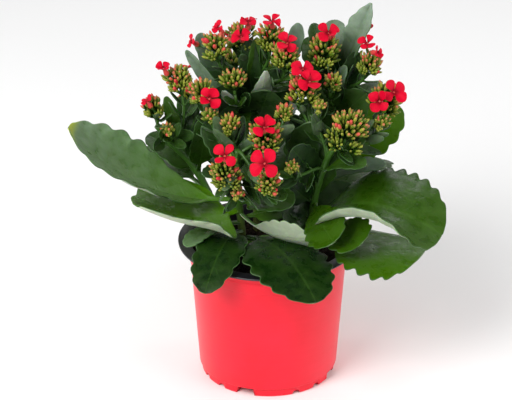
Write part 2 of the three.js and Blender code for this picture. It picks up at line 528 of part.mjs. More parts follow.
// The tips lie on a dome by the golden angle, and their stalks come together in the head's heart.
function budPlaces(head, blooms) {
  const axis = headAxis(head);
  const across = new THREE.Vector3(1, 0, 0).addScaledVector(axis, -axis.x).normalize();
  const third = axis.clone().cross(across);
  const count = Math.round(BUD_DENSITY * head.radius * head.radius) + FEWEST_BUDS;
  const random = seededRandom(Math.round(1000 + 7 * head.at[0] + 13 * head.at[1] + 17 * head.at[2]));
  const heart = headHeart(head);
  const radius = Math.min(BUD_RADIUS, SLIM_BUD * head.radius);
  const places = [];
  for (let k = 0; k < count; k += 1) {
    const polar = Math.acos(1 - (DOME_SPAN * (k + 0.5)) / count);
    const azimuth = k * GOLDEN_TURN + 0.3 * random();
    const reach = head.radius * (0.88 + 0.2 * random());
    const tip = vec(head.at)
      .addScaledVector(across, reach * Math.sin(polar) * Math.cos(azimuth))
      .addScaledVector(third, reach * Math.sin(polar) * Math.sin(azimuth))
      .addScaledVector(axis, DOME_HEIGHT * reach * Math.cos(polar));
    const root = heart.clone().lerp(tip, BUD_ROOT);
    if (!blooms.some((bloom) => meetsBloom(bloom, root, tip))) places.push({ root, tip, radius });
  }
  return places;
}

// A bud and its stalk: a long thin cone up to its shoulder, and a short point above.
function makeBud({ root, tip, radius }) {
  const length = root.distanceTo(tip);
  const profile = [[0, 0], [radius, length - (SHOULDER * radius) / BUD_RADIUS], [0, length]];
  const bud = new THREE.LatheGeometry(profile.map(([r, z]) => new THREE.Vector2(r, z)), BUD_SIDES)
    .rotateX(Math.PI / 2);
  return toSolid(aim(bud, root, tip.clone().sub(root)));
}

const bloomFoot = (bloom) => vec(bloom.at).addScaledVector(vec(bloom.faces).normalize(), -TUBE_LENGTH);

// A bloom's own stalk: it leaves the head's heart and opens into a small cup square to the bloom.
function makeCup(heart, bloom) {
  const away = vec(bloom.faces).normalize();
  const end = bloomFoot(bloom).addScaledVector(away, -GAP);
  const cup = new THREE.CylinderGeometry(CUP_RADIUS, CUP_FOOT_RADIUS, 1, 4).rotateX(Math.PI / 2);
  const place = cup.attributes.position;
  const up = new THREE.Vector3(0, 0, 1);
  const squareToBloom = new THREE.Quaternion().setFromUnitVectors(up, away);
  const alongStalk = new THREE.Quaternion().setFromUnitVectors(up, end.clone().sub(heart).normalize());
  for (let i = 0; i < place.count; i += 1) {
    const isTop = place.getZ(i) > 0;
    const corner = new THREE.Vector3(place.getX(i), place.getY(i), 0)
      .applyQuaternion(isTop ? squareToBloom : alongStalk)
      .add(isTop ? end : heart);
    place.setXYZ(i, corner.x, corner.y, corner.z);
  }
  return toSolid(cup);
}

// A head's core is a small faceted ball on the stalk, and its buds stand well out of it.
function makeHead(head) {
  const axis = headAxis(head);
  const foot = headFoot(head).addScaledVector(axis, GAP);
  const heart = headHeart(head);
  const core = new THREE.OctahedronGeometry(CORE_SHARE * head.radius);
  const neck = rod(new THREE.LineCurve3(foot, heart), STALK_RADIUS, STALK_SIDES, 1);
  const blooms = BLOOMS.filter((bloom) => bloom.head === head.name);
  return fuse([
    toSolid(aim(core, heart, axis)),
    neck,
    ...blooms.map((bloom) => makeCup(heart, bloom)),
    ...budPlaces(head, blooms).map(makeBud),
  ]);
}

// The four petals are one plate with a blunt lobe each way, dished towards a tube of four sides that
// opens under the plate's four notches.
function makeBloom(bloom) {
  const outline = [[0.45, 0], [1, 20], [1, 70]];   // share of the radius, and degrees, for each petal
  const rays = 4 * outline.length;
  const points = [[0, 0, -DISH]];
  for (const level of [0, -PETAL_THICKNESS]) {
    for (let i = 0; i < rays; i += 1) {
      const [share, turn] = outline[i % outline.length];
      const angle = degrees(turn + 90 * Math.floor(i / outline.length));
      const reach = (bloom.size / 2) * share;
      points.push([reach * Math.cos(angle), reach * Math.sin(angle), level]);
    }
  }
  for (const [radius, level] of [[TUBE_RADIUS, -DISH - PETAL_THICKNESS], [TUBE_FOOT_RADIUS, -TUBE_LENGTH]]) {
    for (let i = 0; i < 4; i += 1) {
      const angle = degrees(90 * i);
      points.push([radius * Math.cos(angle), radius * Math.sin(angle), level]);
    }
  }
  const upper = (i) => 1 + (i % rays);
  const lower = (i) => 1 + rays + (i % rays);
  const neck = (k) => 1 + 2 * rays + (k % 4);
  const foot = (k) => 5 + 2 * rays + (k % 4);
  const faces = [];
  for (let i = 0; i < rays; i += 1) {
    faces.push(0, upper(i), upper(i + 1));
    faces.push(upper(i), lower(i), lower(i + 1), upper(i), lower(i + 1), upper(i + 1));
  }
  for (let k = 0; k < 4; k += 1) {
    const first = 3 * k;
    faces.push(lower(first + 1), lower(first), neck(k));
    faces.push(lower(first + 1), neck(k), neck(k + 1));
    faces.push(lower(first + 2), lower(first + 1), neck(k + 1));
    faces.push(lower(first + 3), lower(first + 2), neck(k + 1));
    faces.push(neck(k), foot(k), foot(k + 1), neck(k), foot(k + 1), neck(k + 1));
  }
  faces.push(foot(0), foot(3), foot(2), foot(0), foot(2), foot(1));
  const geometry = new THREE.BufferGeometry();
  geometry.setAttribute('position', new THREE.Float32BufferAttribute(points.flat(), 3));
  geometry.setIndex(faces);
  return toSolid(aim(geometry, vec(bloom.at), vec(bloom.faces)));
}

// A stem is straight where it stands in the soil.
function stemCurve(shoot) {
  const [x, y] = shoot.root;
  const levels = [SOIL_LEVEL - ROOT_DEPTH, SOIL_LEVEL - ROOT_DEPTH / 2, SOIL_LEVEL + 3];
  const straight = levels.map((z) => [x, y, z]);
  return new THREE.CatmullRomCurve3([...straight, ...shoot.path].map(vec));
}

// A flower stalk leaves its stem along the stem and comes up under its head.
function makeStalk(head, stem) {
  const start = stem.getPointAt(head.on);
  const end = headFoot(head);
  const pull = STALK_PULL * start.distanceTo(end);
  const curve = new THREE.CubicBezierCurve3(
    start,
    start.clone().addScaledVector(stem.getTangentAt(head.on), pull),
    end.clone().addScaledVector(headAxis(head), -pull),
    end,
  );
  return rod(curve, STALK_RADIUS, STALK_SIDES, STALK_STEPS);
}

// ---- the part ----------------------------------------------------------------------------------
const FINISH = {
  pot: { color: 0xf5354a, roughness: 0.38, metalness: 0 },
  soil: { color: 0x241a14, roughness: 0.95, metalness: 0 },
  leaf: { color: 0x2f5d1c, roughness: 0.5, metalness: 0 },
  head: { color: 0x8aa048, roughness: 0.55, metalness: 0 },
  bloom: { color: 0xe8062f, roughness: 0.5, metalness: 0 },
};

const plant = new THREE.Group();

function addNode(name, solid, finish) {
  const mesh = new THREE.Mesh(toGeometry(solid), new THREE.MeshStandardMaterial(FINISH[finish]));
  mesh.name = name;
  plant.add(mesh);
}

addNode('pot', makePot(), 'pot');
addNode('soil', makeSoil(SHOOTS), 'soil');
for (const shoot of SHOOTS) {
  const stem = stemCurve(shoot);
  const pieces = [rod(stem, STEM_RADIUS, STEM_SIDES, STEM_STEPS)];
  for (const leaf of shoot.leaves) {
    const middle = stem.getPointAt(leaf.on);
    const outwards = vec(leaf.tip).sub(middle).normalize();
    pieces.push(makeLeaf(leaf, middle.addScaledVector(outwards, LEAF_ROOT)));
  }
  for (const head of HEADS) {
    if (head.shoot === shoot.name) pieces.push(makeStalk(head, stem));
  }
  addNode(shoot.name, fuse(pieces), 'leaf');
}
for (const head of HEADS) addNode(head.name, makeHead(head), 'head');
for (const bloom of BLOOMS) addNode(bloom.name, makeBloom(bloom), 'bloom');

export default plant;
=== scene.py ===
"""A kalanchoe in a 12 cm nursery pot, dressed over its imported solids: the two-tone pot, the potting mix,
fleshy scalloped leaves, and heads of buds and red four-petalled blooms. Sizes here are millimetres in the
frame of the solids, and every finished piece is brought to metres by `finish_piece`."""
import math
import random

import bmesh
import bpy
from mathutils import Matrix, Quaternion, Vector, noise


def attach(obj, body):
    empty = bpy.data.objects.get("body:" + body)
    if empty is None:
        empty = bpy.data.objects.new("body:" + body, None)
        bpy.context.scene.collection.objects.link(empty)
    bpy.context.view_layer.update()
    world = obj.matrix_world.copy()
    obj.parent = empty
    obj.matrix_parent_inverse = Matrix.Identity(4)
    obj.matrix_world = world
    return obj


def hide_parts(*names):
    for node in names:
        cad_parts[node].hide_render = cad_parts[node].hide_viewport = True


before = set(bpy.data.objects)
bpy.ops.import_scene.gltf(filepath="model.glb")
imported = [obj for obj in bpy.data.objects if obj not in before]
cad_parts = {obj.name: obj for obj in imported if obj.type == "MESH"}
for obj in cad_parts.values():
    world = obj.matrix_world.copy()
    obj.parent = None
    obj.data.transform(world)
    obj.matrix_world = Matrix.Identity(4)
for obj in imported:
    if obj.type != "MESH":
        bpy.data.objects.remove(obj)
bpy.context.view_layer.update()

MM = 0.001

# ---- driving sizes -----------------------------------------------------------------------------
POT_HEIGHT = 96.0
LIP_RADIUS = 60.0
LIP_THICKNESS = 1.3
WALL = 1.1
BODY_TOP_RADIUS = 52.8
BODY_BASE_RADIUS = 46.0
FOOT_HEIGHT = 5.4
FOOT_INSET = 1.2
FOOT_LEDGE = 0.6                  # the rise of the small step from the foot ring to the body
FOOT_INNER_RADIUS = 37.0
FOOT_DRAFT = 1.5                  # how far the foot ring's inner side leans
BOSS_RADIUS = 15.0                # the flat middle of the underside, level with the feet
BOSS_DRAFT = 2.0
FLOOR_THICKNESS = 1.4
BEAD_LOW = 80.0                   # a shallow band stands out of the body between these heights
BEAD_HIGH = 88.0
BEAD_RISE = 0.35
BEAD_STEP = 0.6
POT_SEGMENTS = 240
FIRST_DEEP_NOTCH = -110.0         # degrees, seen from above, counted from +X
DEEP_NOTCH_ANGLE = 16.0
DEEP_NOTCH_HEIGHT = 5.2
SHALLOW_NOTCH_ANGLE = 5.6
SHALLOW_NOTCH_HEIGHT = 2.6
SHALLOW_NOTCH_STEPS = (45.0, 66.0)
DRAIN_CIRCLE = 26.0
DRAIN_WIDTH = 6.0
DRAIN_STEP = 22.0                 # degrees on from a deep notch

SOIL_LEVEL = 86.0
SOIL_RELIEF = 1.6
SOIL_GAP = 0.3                    # between the mix and the pot
SOIL_EDGE = 3.0                   # how far below its top the mix begins to narrow
SOIL_RINGS = 34
SOIL_SEGMENTS = 110
LUMP_SIZE = 5.0
LUMP_RISE = 1.3
CRUMBS = 520
CRUMB_RADII = (0.5, 1.6)
CRUMB_RISE = 0.4                  # a loose crumb's middle, above the mix
ROOT_DEPTH = 34.0                 # how far a shoot stands in the mix

STEM_RADIUS = 2.4
STEM_STEPS = 60
STEM_SIDES = 14
KNOT_SPREAD = 0.018               # of the swelling at a leaf's root, as a share of the stem
KNOT_SWELL = 0.35
STALK_RADIUS = 0.95
STALK_STEPS = 12
STALK_SIDES = 8
STALK_PULL = 0.4                  # how stiffly a flower stalk holds its direction at both ends
SIDE_STALK_RADII = (0.75, 0.65, 0.6)
BLOOM_STALK_RADII = (0.8, 0.7, 0.8, 1.2)
FINE_STALK_SIDES = 6

LEAF_ROOT = 0.9                   # how far from the middle of its stem a leaf begins
LEAF_FULL = 3.2                   # the greatest thickness that the wall modifier gives
BROAD_LEAF = 24                   # a leaf that is wider than this has the finer grid
FINE_GRID = (50, 14)
PLAIN_GRID = (28, 8)
BRACT_GRID = (14, 6)
LEAF_STALK_ROWS = 4
TOOTH_DEPTH = 0.085               # of a leaf's scallops, as a share of its half width
SCALLOP_RATE = 1.45               # scallops for each of the coarser teeth of the solid
FEWEST_SCALLOPS = 5
STALK_SWELL = 1.1                 # how much fuller a blade is at its root, against its thickness
MARGIN_WAVE = 0.02                # as a share of the leaf's width
VEIN_SPACING = 9.0                # of the side veins, along the blade
VEIN_LEAN = 1.3                   # how far they run on towards the tip, in spacings, out to the margin
PUFF = 0.25                       # the soft swell between two side veins
BRACT_PAIRS = ((5, 21.0), (8, 17.0), (10, 12.0))   # the step along a flower stalk, and a bract's length

BUD_RADIUS = 1.15
BUD_LENGTH = 5.6
BUD_SIDES = 6
BUD_DENSITY = 0.27                # buds for each square millimetre of a head's radius squared
FEWEST_BUDS = 8
RIPE_SHARE = 0.08
DOME_SPAN = 1.06                  # 1 is a half ball of buds
DOME_HEIGHT = 0.85
HEAD_RISE = 0.7                   # how far a head leans from straight outwards towards upright
HEART_DEPTH = 0.4                 # below the middle of a head, as a share of its radius
FOOT_DEPTH = 1.05
INNER_DOME = 0.72                 # the layer of younger buds, against the dome
SIDE_DOME = 0.42
SIDE_REACH = 0.66
LARGE_HEAD = 8                    # a head with a greater radius has five side umbels, and others three
PETAL_THICKNESS = 0.45
PETAL_GRID = (10, 8)
TUBE_LENGTH = 7.0
TUBE_SIDES = 12
PLANT_MIDDLE = Vector((0, 10, 90))
GOLDEN_TURN = math.pi * (3 - math.sqrt(5))

# ---- colours, in sRGB --------------------------------------------------------------------------
# the dark end of the leaf green is near black: on the inner leaves it stands as painted shade
LEAF_DARK_AND_SHADED = 0x0A2406
LEAF_BRIGHT = 0x467200
LEAF_VEIN = 0x5A8632
# the grey of the waxy bloom, which also stands as a painted sheen
LEAF_WAX_AND_SHEEN = 0x96A898
# the darker underside green, where `pale` is low, is painted shade on the inner leaves and bracts
UNDERSIDE_GREEN = 0x2C4A1C
UNDERSIDE_PALE = 0xB0BEA2
UNDERSIDE_VEIN = 0x6A8A4C
UNDERSIDE_WAX = 0xB4C0AE
WORN_YELLOW = 0xA9B430
MARGIN_DARK = 0x1C4010
MARGIN_LIGHT = 0x446C2C
# the stem greens are darkened throughout as painted shade
SHADED_STEM_DARK = 0x24480F
SHADED_STEM_BRIGHT = 0x4C782A
CORK_BROWN = 0x5A4A2C
BUD_GREEN = 0x4A6A10
BUD_YELLOW = 0x98A238
CALYX_GREEN = 0x264A0A
TIP_SALMON = 0xC88058
TIP_RED = 0xD01C34
PETAL_DEEP = 0xAC0022
PETAL_BRIGHT = 0xEC0030
THROAT_RED = 0x840014
POT_RED_DEEP = 0xE80824
POT_RED_LIGHT = 0xF21634
POT_BLACK_DEEP = 0x0C0A10
POT_BLACK_LIGHT = 0x1C1A22
PEAT_DARK = 0x0E0A08
PEAT_BROWN = 0x3C2A1E
PAPER_WHITE = 0xF6F6F6

# ---- the plant's places ------------------------------------------------------------------------
# A shoot rises straight out of the mix at `root` and follows its path. A leaf leaves it at the share
# `on` of its length, runs to `tip` with its upper face towards `faces`, is `width` across, bows by
# `arch`, rolls each half up by `left` and `right` degrees, and turns by `twist` from root to tip.
# `stalk` is its stalk's share of its length, `teeth` the number of the solid's coarser teeth, and
# `bulk` its thickness. `broad` and `point` shape its outline, `left_teeth` and `right_teeth` deepen
# the scallops of a half, and `crease` its midrib. `tone` runs from dark to bright green, and `tip_tone`
# is that at the tip. Both are partly the leaf's own green and partly painted light and shade: low as
# painted shade on the inner leaves and between the heads, and high as painted light on some shaded ones.
# `pale` is the brightness of the underside, low as painted shade on the inner leaves, `frost_and_sheen`
# the waxy grey bloom with a painted sheen in it, and `worn_tip` how far the tip has yellowed.
SHOOTS = [
    dict(name="shoot_front_left", root=(-17, 6),
         path=[(-19, 3, 115), (-20, -8, 140), (-20, -20, 160), (-20, -26, 172)],
         leaves=[
             dict(on=0.58, tip=(-130, -1, 177), faces=(0.69, 0.1, 0.72), width=66, arch=-16, left=25,
                  right=62, teeth=5, twist=-3, stalk=0.15, broad=1.45, tone=0.98, tip_tone=0.75,
                  frost_and_sheen=0.45, worn_tip=0.9, left_teeth=1.9, pale=0.6, crease=1.6),
             dict(on=0.5, tip=(-84, -28, 133), faces=(0.47, 0.19, 0.86), width=84, arch=-7, left=38,
                  right=23, twist=27, stalk=0.11, broad=0.84, tone=0.98, frost_and_sheen=0, pale=0.9),
             dict(on=0.37, tip=(-41, -67, 90), width=29, arch=12, left=8, right=8, stalk=0.24, tone=0.06,
                  frost_and_sheen=0),
             dict(on=0.42, tip=(-54, -32, 106), faces=(-0.3, -0.2, 1), width=15, teeth=3, stalk=0.5,
                  tone=0.6, frost_and_sheen=0.3),
             dict(on=0.48, tip=(26, -35, 114), faces=(0.35, 0.79, 0.5), width=27, arch=-6, left=49,
                  right=17, teeth=3, stalk=0.3, broad=1.8, twist=-11, pale=1),
             dict(on=0.33, tip=(30, -76, 88), faces=(-0.05, 0.15, 1), width=52, arch=14, left=-10,
                  right=-12, teeth=5, stalk=0.24, tone=0.06, frost_and_sheen=0),
             dict(on=0.55, tip=(16, -27, 134), faces=(0.1, -0.5, 1), width=24, teeth=3, stalk=0.24,
                  tone=0.45),
             dict(on=0.7, tip=(9, -52, 149), faces=(0.3, -0.3, 1), width=18, teeth=2, bulk=1.2, tone=0.45),
             dict(on=0.66, tip=(-18, -46, 146), faces=(0.4, -0.6, 0.7), width=13, teeth=2, bulk=1.2,
                  tone=0.6, frost_and_sheen=0.35),
             dict(on=0.75, tip=(-42, -34, 158), faces=(0, -0.4, 1), width=14, teeth=2, bulk=1.2, tone=0.15),
             dict(on=0.79, tip=(-42, -14, 186), faces=(0.4, -0.8, 0.3), width=17, teeth=2, bulk=1.2,
                  tone=0.15),
             dict(on=0.84, tip=(0, -20, 180), faces=(-0.3, -0.9, 0.3), width=16, teeth=2, bulk=1.2,
                  tone=0.3, frost_and_sheen=0.4),
             dict(on=0.62, tip=(-37, -16, 152), faces=(0.3, -0.8, 0.4), width=13, teeth=2, bulk=1.2,
                  tone=0.3),
         ]),
    dict(name="shoot_right", root=(26, 0),
         path=[(29, -2, 116), (33, -6, 140), (38, -10, 158), (42, -14, 168)],
         leaves=[
             dict(on=0.47, tip=(112, -40, 118), faces=(0.38, -0.44, 0.81), width=86, arch=22, left=-20,
                  right=77, teeth=6, stalk=0.1, broad=1.24, twist=-3, tone=0.2, tip_tone=0.45, frost_and_sheen=0,
                  pale=0.9),
             dict(on=0.4, tip=(102, -31, 102), faces=(0.17, -0.05, 0.98), width=92, arch=4, left=-71,
                  right=-6, teeth=5, stalk=0.28, twist=10, broad=1.06, tone=0.68, frost_and_sheen=0, left_teeth=0.6,
                  pale=0.8),
             dict(on=0.44, tip=(59, -54, 119), faces=(-0.09, -0.47, 0.88), width=31, arch=5, left=16,
                  right=28, teeth=3, stalk=0.44, broad=1.7, twist=9, tone=0.5, frost_and_sheen=0),
             dict(on=0.6, tip=(41, -62, 124), faces=(-0.4, -0.66, 0.63), width=27, arch=4, left=-3,
                  right=6, stalk=0.2, broad=1.7, twist=-4, tone=0.45, frost_and_sheen=0),
             dict(on=0.55, tip=(29, -10, 185), faces=(0, -1, 0.05), width=33, arch=-2, left=20, right=17,
                  teeth=3, stalk=0.16, twist=-8, broad=1.34, tone=0.25),
             dict(on=0.74, tip=(15, -32, 176), faces=(0.14, -0.82, 0.55), width=21, stalk=0.14, twist=-12,
                  arch=1, broad=1.1, bulk=1.2, tone=0.05),
             dict(on=0.82, tip=(62, -34, 165), faces=(0.2, -0.5, 1), width=16, teeth=2, bulk=1.2, tone=0.4),
             dict(on=0.95, tip=(64, -8, 178), faces=(-0.2, -0.8, 0.6), width=14, teeth=2, bulk=1.2,
                  tone=0.4),
             dict(on=0.6, tip=(11, -2, 142), faces=(-0.2, -1, 0.1), width=20, teeth=2, bulk=1.2,
                  tone=0.05, pale=0.2),
             dict(on=0.86, tip=(11, 2, 184), faces=(-0.2, -1, 0.2), width=19, teeth=2, bulk=1.2, tone=0.1,
                  pale=0.2),
         ]),
    dict(name="shoot_back_right", root=(22, 28),
         path=[(30, 31, 120), (40, 34, 150), (46, 38, 178), (48, 40, 194)],
         leaves=[
             dict(on=0.58, tip=(87, 25, 180), faces=(0.4, -0.9, 0.18), width=32, arch=3, twist=-12,
                  right=29, teeth=3, tone=1, frost_and_sheen=0),
             dict(on=0.5, tip=(78, 14, 143), faces=(0.1, -0.4, 1), width=14, teeth=3, frost_and_sheen=0.6),
             dict(on=0.36, tip=(80, 88, 112), faces=(0, 0.1, 1), width=46, arch=10, left=14, right=10,
                  teeth=4, tone=0.3),
             dict(on=0.42, tip=(38, 112, 134), faces=(0, 0.1, 1), width=42, arch=10, teeth=4, tone=0.3),
             dict(on=0.75, tip=(76, 56, 185), faces=(-0.5, 0, 0.8), width=22, teeth=3, frost_and_sheen=0.5),
             dict(on=0.95, tip=(67, 44, 246), faces=(-0.42, -0.87, 0.27), width=27, arch=4, left=9,
                  right=66, teeth=3, stalk=0.26, broad=2.6, point=0.9, tone=0.35, frost_and_sheen=0.85, crease=1.8),
             dict(on=0.99, tip=(43, 57, 229), faces=(-0.17, -0.98, 0.08), width=17, arch=5, teeth=2,
                  broad=1.2, bulk=1.2, frost_and_sheen=0.55),
             dict(on=0.84, tip=(40, 88, 174), faces=(0, 0.5, 1), width=20, teeth=2, bulk=1.2),
             dict(on=0.8, tip=(64, 16, 194), faces=(0, -0.9, 0.4), width=22, teeth=2, bulk=1.2),
             dict(on=0.7, tip=(26, 8, 186), faces=(-0.2, -0.9, 0.4), width=32, teeth=2, bulk=1.2),
             dict(on=0.93, tip=(25, 48, 220), faces=(-0.3, -1, 0.2), width=16, teeth=2, bulk=1.2, tone=0.4),
             dict(on=0.86, tip=(58, 36, 215), faces=(0.3, -1, 0.1), width=15, teeth=2, bulk=1.2, tone=0.1),
             dict(on=0.82, tip=(33, 46, 206), faces=(-0.1, -1, 0.1), width=24, teeth=2, bulk=1.2, tone=0.1),
             dict(on=0.84, tip=(51, 26, 209), faces=(-0.7, -0.6, 0.2), width=10, teeth=2, bulk=1.2,
                  frost_and_sheen=0.5),
         ]),
    dict(name="shoot_back", root=(-8, 32),
         path=[(-8, 36, 125), (-10, 38, 160), (-12, 38, 186)],
         leaves=[
             dict(on=0.38, tip=(-14, 116, 118), faces=(0, 0.1, 1), width=50, arch=12, left=10, right=12,
                  teeth=4),
             dict(on=0.44, tip=(-50, 101, 122), faces=(0, 0.1, 1), width=44, arch=12, teeth=4),
             dict(on=0.7, tip=(-36, 88, 160), faces=(0, -0.6, 0.8), width=28, teeth=3),
             dict(on=0.74, tip=(16, 84, 160), faces=(-0.2, -0.6, 0.8), width=24, teeth=3),
             dict(on=0.95, tip=(21, 58, 226), faces=(0.23, -0.94, -0.24), width=14, arch=8, teeth=2,
                  broad=1.5, bulk=1.2, frost_and_sheen=0.6),
             dict(on=0.91, tip=(-46, 43, 225), faces=(-0.17, -0.98, -0.08), width=14, arch=7, right=44,
                  teeth=2, broad=1.6, bulk=1.2, tone=0.15, frost_and_sheen=0.3),
             dict(on=0.86, tip=(-54, 26, 220), faces=(-0.05, -0.99, -0.1), width=8, arch=9, right=40,
                  teeth=2, bulk=1.2, frost_and_sheen=0.6),
             dict(on=0.82, tip=(0, 6, 200), faces=(0.1, -0.9, 0.4), width=28, teeth=2, bulk=1.2, tone=0.15),
             dict(on=0.84, tip=(-38, 10, 196), faces=(0.1, -0.9, 0.4), width=27, teeth=2, bulk=1.2,
                  tone=0.15),
             dict(on=0.92, tip=(-2, 2, 216), faces=(-0.3, 0.7, 0.8), width=15, arch=-5, point=0.6,
                  teeth=2, bulk=1.2, tone=0.5, frost_and_sheen=1, pale=1),
             dict(on=0.88, tip=(-29, 2, 202), faces=(0.2, 0.6, 0.9), width=14, arch=-4, point=0.4,
                  teeth=2, bulk=1.2, tone=0.5, frost_and_sheen=1, pale=1),
             dict(on=0.9, tip=(15, 30, 202), faces=(0.1, -1, 0.3), width=24, teeth=2, bulk=1.2, tone=0.1),
             dict(on=0.97, tip=(-8, 30, 227), faces=(0.2, -1, 0.1), width=9, teeth=2, bulk=1.2, tone=0.1,
                  tip_tone=0.7),
         ]),
    dict(name="shoot_left", root=(-34, 22),
         path=[(-40, 24, 118), (-52, 22, 141), (-64, 16, 158), (-73, 10, 173)],
         leaves=[
             dict(on=0.6, tip=(-81, 42, 152), faces=(0.3, -0.5, 0.9), width=22, teeth=3, tone=0.2),
             dict(on=0.86, tip=(-62, 4, 178), faces=(0.2, -0.9, 0.2), width=11, teeth=2, bulk=1.2,
                  tone=0.2),
             dict(on=0.5, tip=(-104, 68, 123), faces=(0.1, 0.1, 1), width=44, arch=10, left=12, right=16,
                  teeth=4, tone=0.35),
             dict(on=0.8, tip=(-67, 8, 195), faces=(0.3, -0.9, 0.2), width=8, teeth=2, bulk=1.2, tone=0.5),
             dict(on=0.62, tip=(-44, 78, 144), faces=(0, 0.4, 1), width=24, teeth=3),
             dict(on=0.63, tip=(-42, 6, 182), faces=(0.3, -0.9, 0.2), width=17, teeth=2, bulk=1.2,
                  tone=0.3),
             dict(on=0.6, tip=(-58, 30, 186), faces=(0.2, -1, 0.1), width=11, teeth=2, bulk=1.2, tone=0.2),
         ]),
]

# A head of buds is the end of a flower stalk that leaves its shoot at the share `on`. `at` is the
# middle of its dome, and `sides` its number of side umbels.
HEADS = [
    dict(name="head_left_low", shoot="shoot_left", on=0.98, at=(-76, 5, 191), radius=8, sides=5),
    dict(name="head_left_side", shoot="shoot_left", on=0.88, at=(-66, -8, 180), radius=5),
    dict(name="head_left", shoot="shoot_left", on=0.7, at=(-60, 12, 208), radius=10),
    dict(name="head_left_back", shoot="shoot_left", on=0.66, at=(-51, 50, 178), radius=11),
    dict(name="head_top_left", shoot="shoot_back", on=0.92, at=(-35, 22, 228), radius=10),
    dict(name="head_top", shoot="shoot_back", on=0.98, at=(-18, 38, 228), radius=11),
    dict(name="head_back", shoot="shoot_back", on=0.9, at=(-26, 66, 196), radius=12),
    dict(name="head_back_low", shoot="shoot_back", on=0.78, at=(2, 90, 182), radius=11),
    dict(name="head_top_middle", shoot="shoot_back", on=0.95, at=(1, 27, 232), radius=10),
    dict(name="head_top_centre", shoot="shoot_back", on=0.93, at=(11, 12, 224), radius=10),
    dict(name="head_middle_left", shoot="shoot_back", on=0.86, at=(-23, 2, 209), radius=10, sides=0),
    dict(name="head_top_right", shoot="shoot_back_right", on=0.99, at=(37, 27, 222), radius=12),
    dict(name="head_right_high", shoot="shoot_back_right", on=0.9, at=(67, 26, 213), radius=9),
    dict(name="head_back_right", shoot="shoot_back_right", on=0.86, at=(55, 68, 194), radius=13),
    dict(name="head_right_side", shoot="shoot_back_right", on=0.7, at=(77, 4, 197), radius=12),
    dict(name="head_right_inner", shoot="shoot_back_right", on=0.8, at=(42, 10, 206), radius=7),
    dict(name="head_centre_right", shoot="shoot_right", on=0.9, at=(23, -6, 209), radius=12),
    dict(name="head_right", shoot="shoot_right", on=0.99, at=(52, -26, 189), radius=14),
    dict(name="head_right_low", shoot="shoot_right", on=0.94, at=(74, -12, 187), radius=6),
    dict(name="head_inner_right", shoot="shoot_right", on=0.86, at=(33, -14, 199), radius=5),
    dict(name="head_front_right", shoot="shoot_right", on=0.8, at=(15, -38, 167), radius=5),
    dict(name="head_centre_back", shoot="shoot_front_left", on=0.93, at=(10, -12, 194), radius=7),
    dict(name="head_centre", shoot="shoot_front_left", on=0.9, at=(-2, -34, 189), radius=12),
    dict(name="head_front", shoot="shoot_front_left", on=0.98, at=(0, -54, 165), radius=9),
    dict(name="head_front_left", shoot="shoot_front_left", on=0.96, at=(-28, -46, 168), radius=11),
    dict(name="head_front_low", shoot="shoot_front_left", on=0.88, at=(-20, -46, 152), radius=5),
    dict(name="head_left_middle", shoot="shoot_front_left", on=0.86, at=(-44, -8, 208), radius=9),
    dict(name="head_left_lower", shoot="shoot_front_left", on=0.82, at=(-38, -16, 193), radius=6),
    dict(name="head_left_inner", shoot="shoot_front_left", on=0.92, at=(-25, -22, 190), radius=8),
]

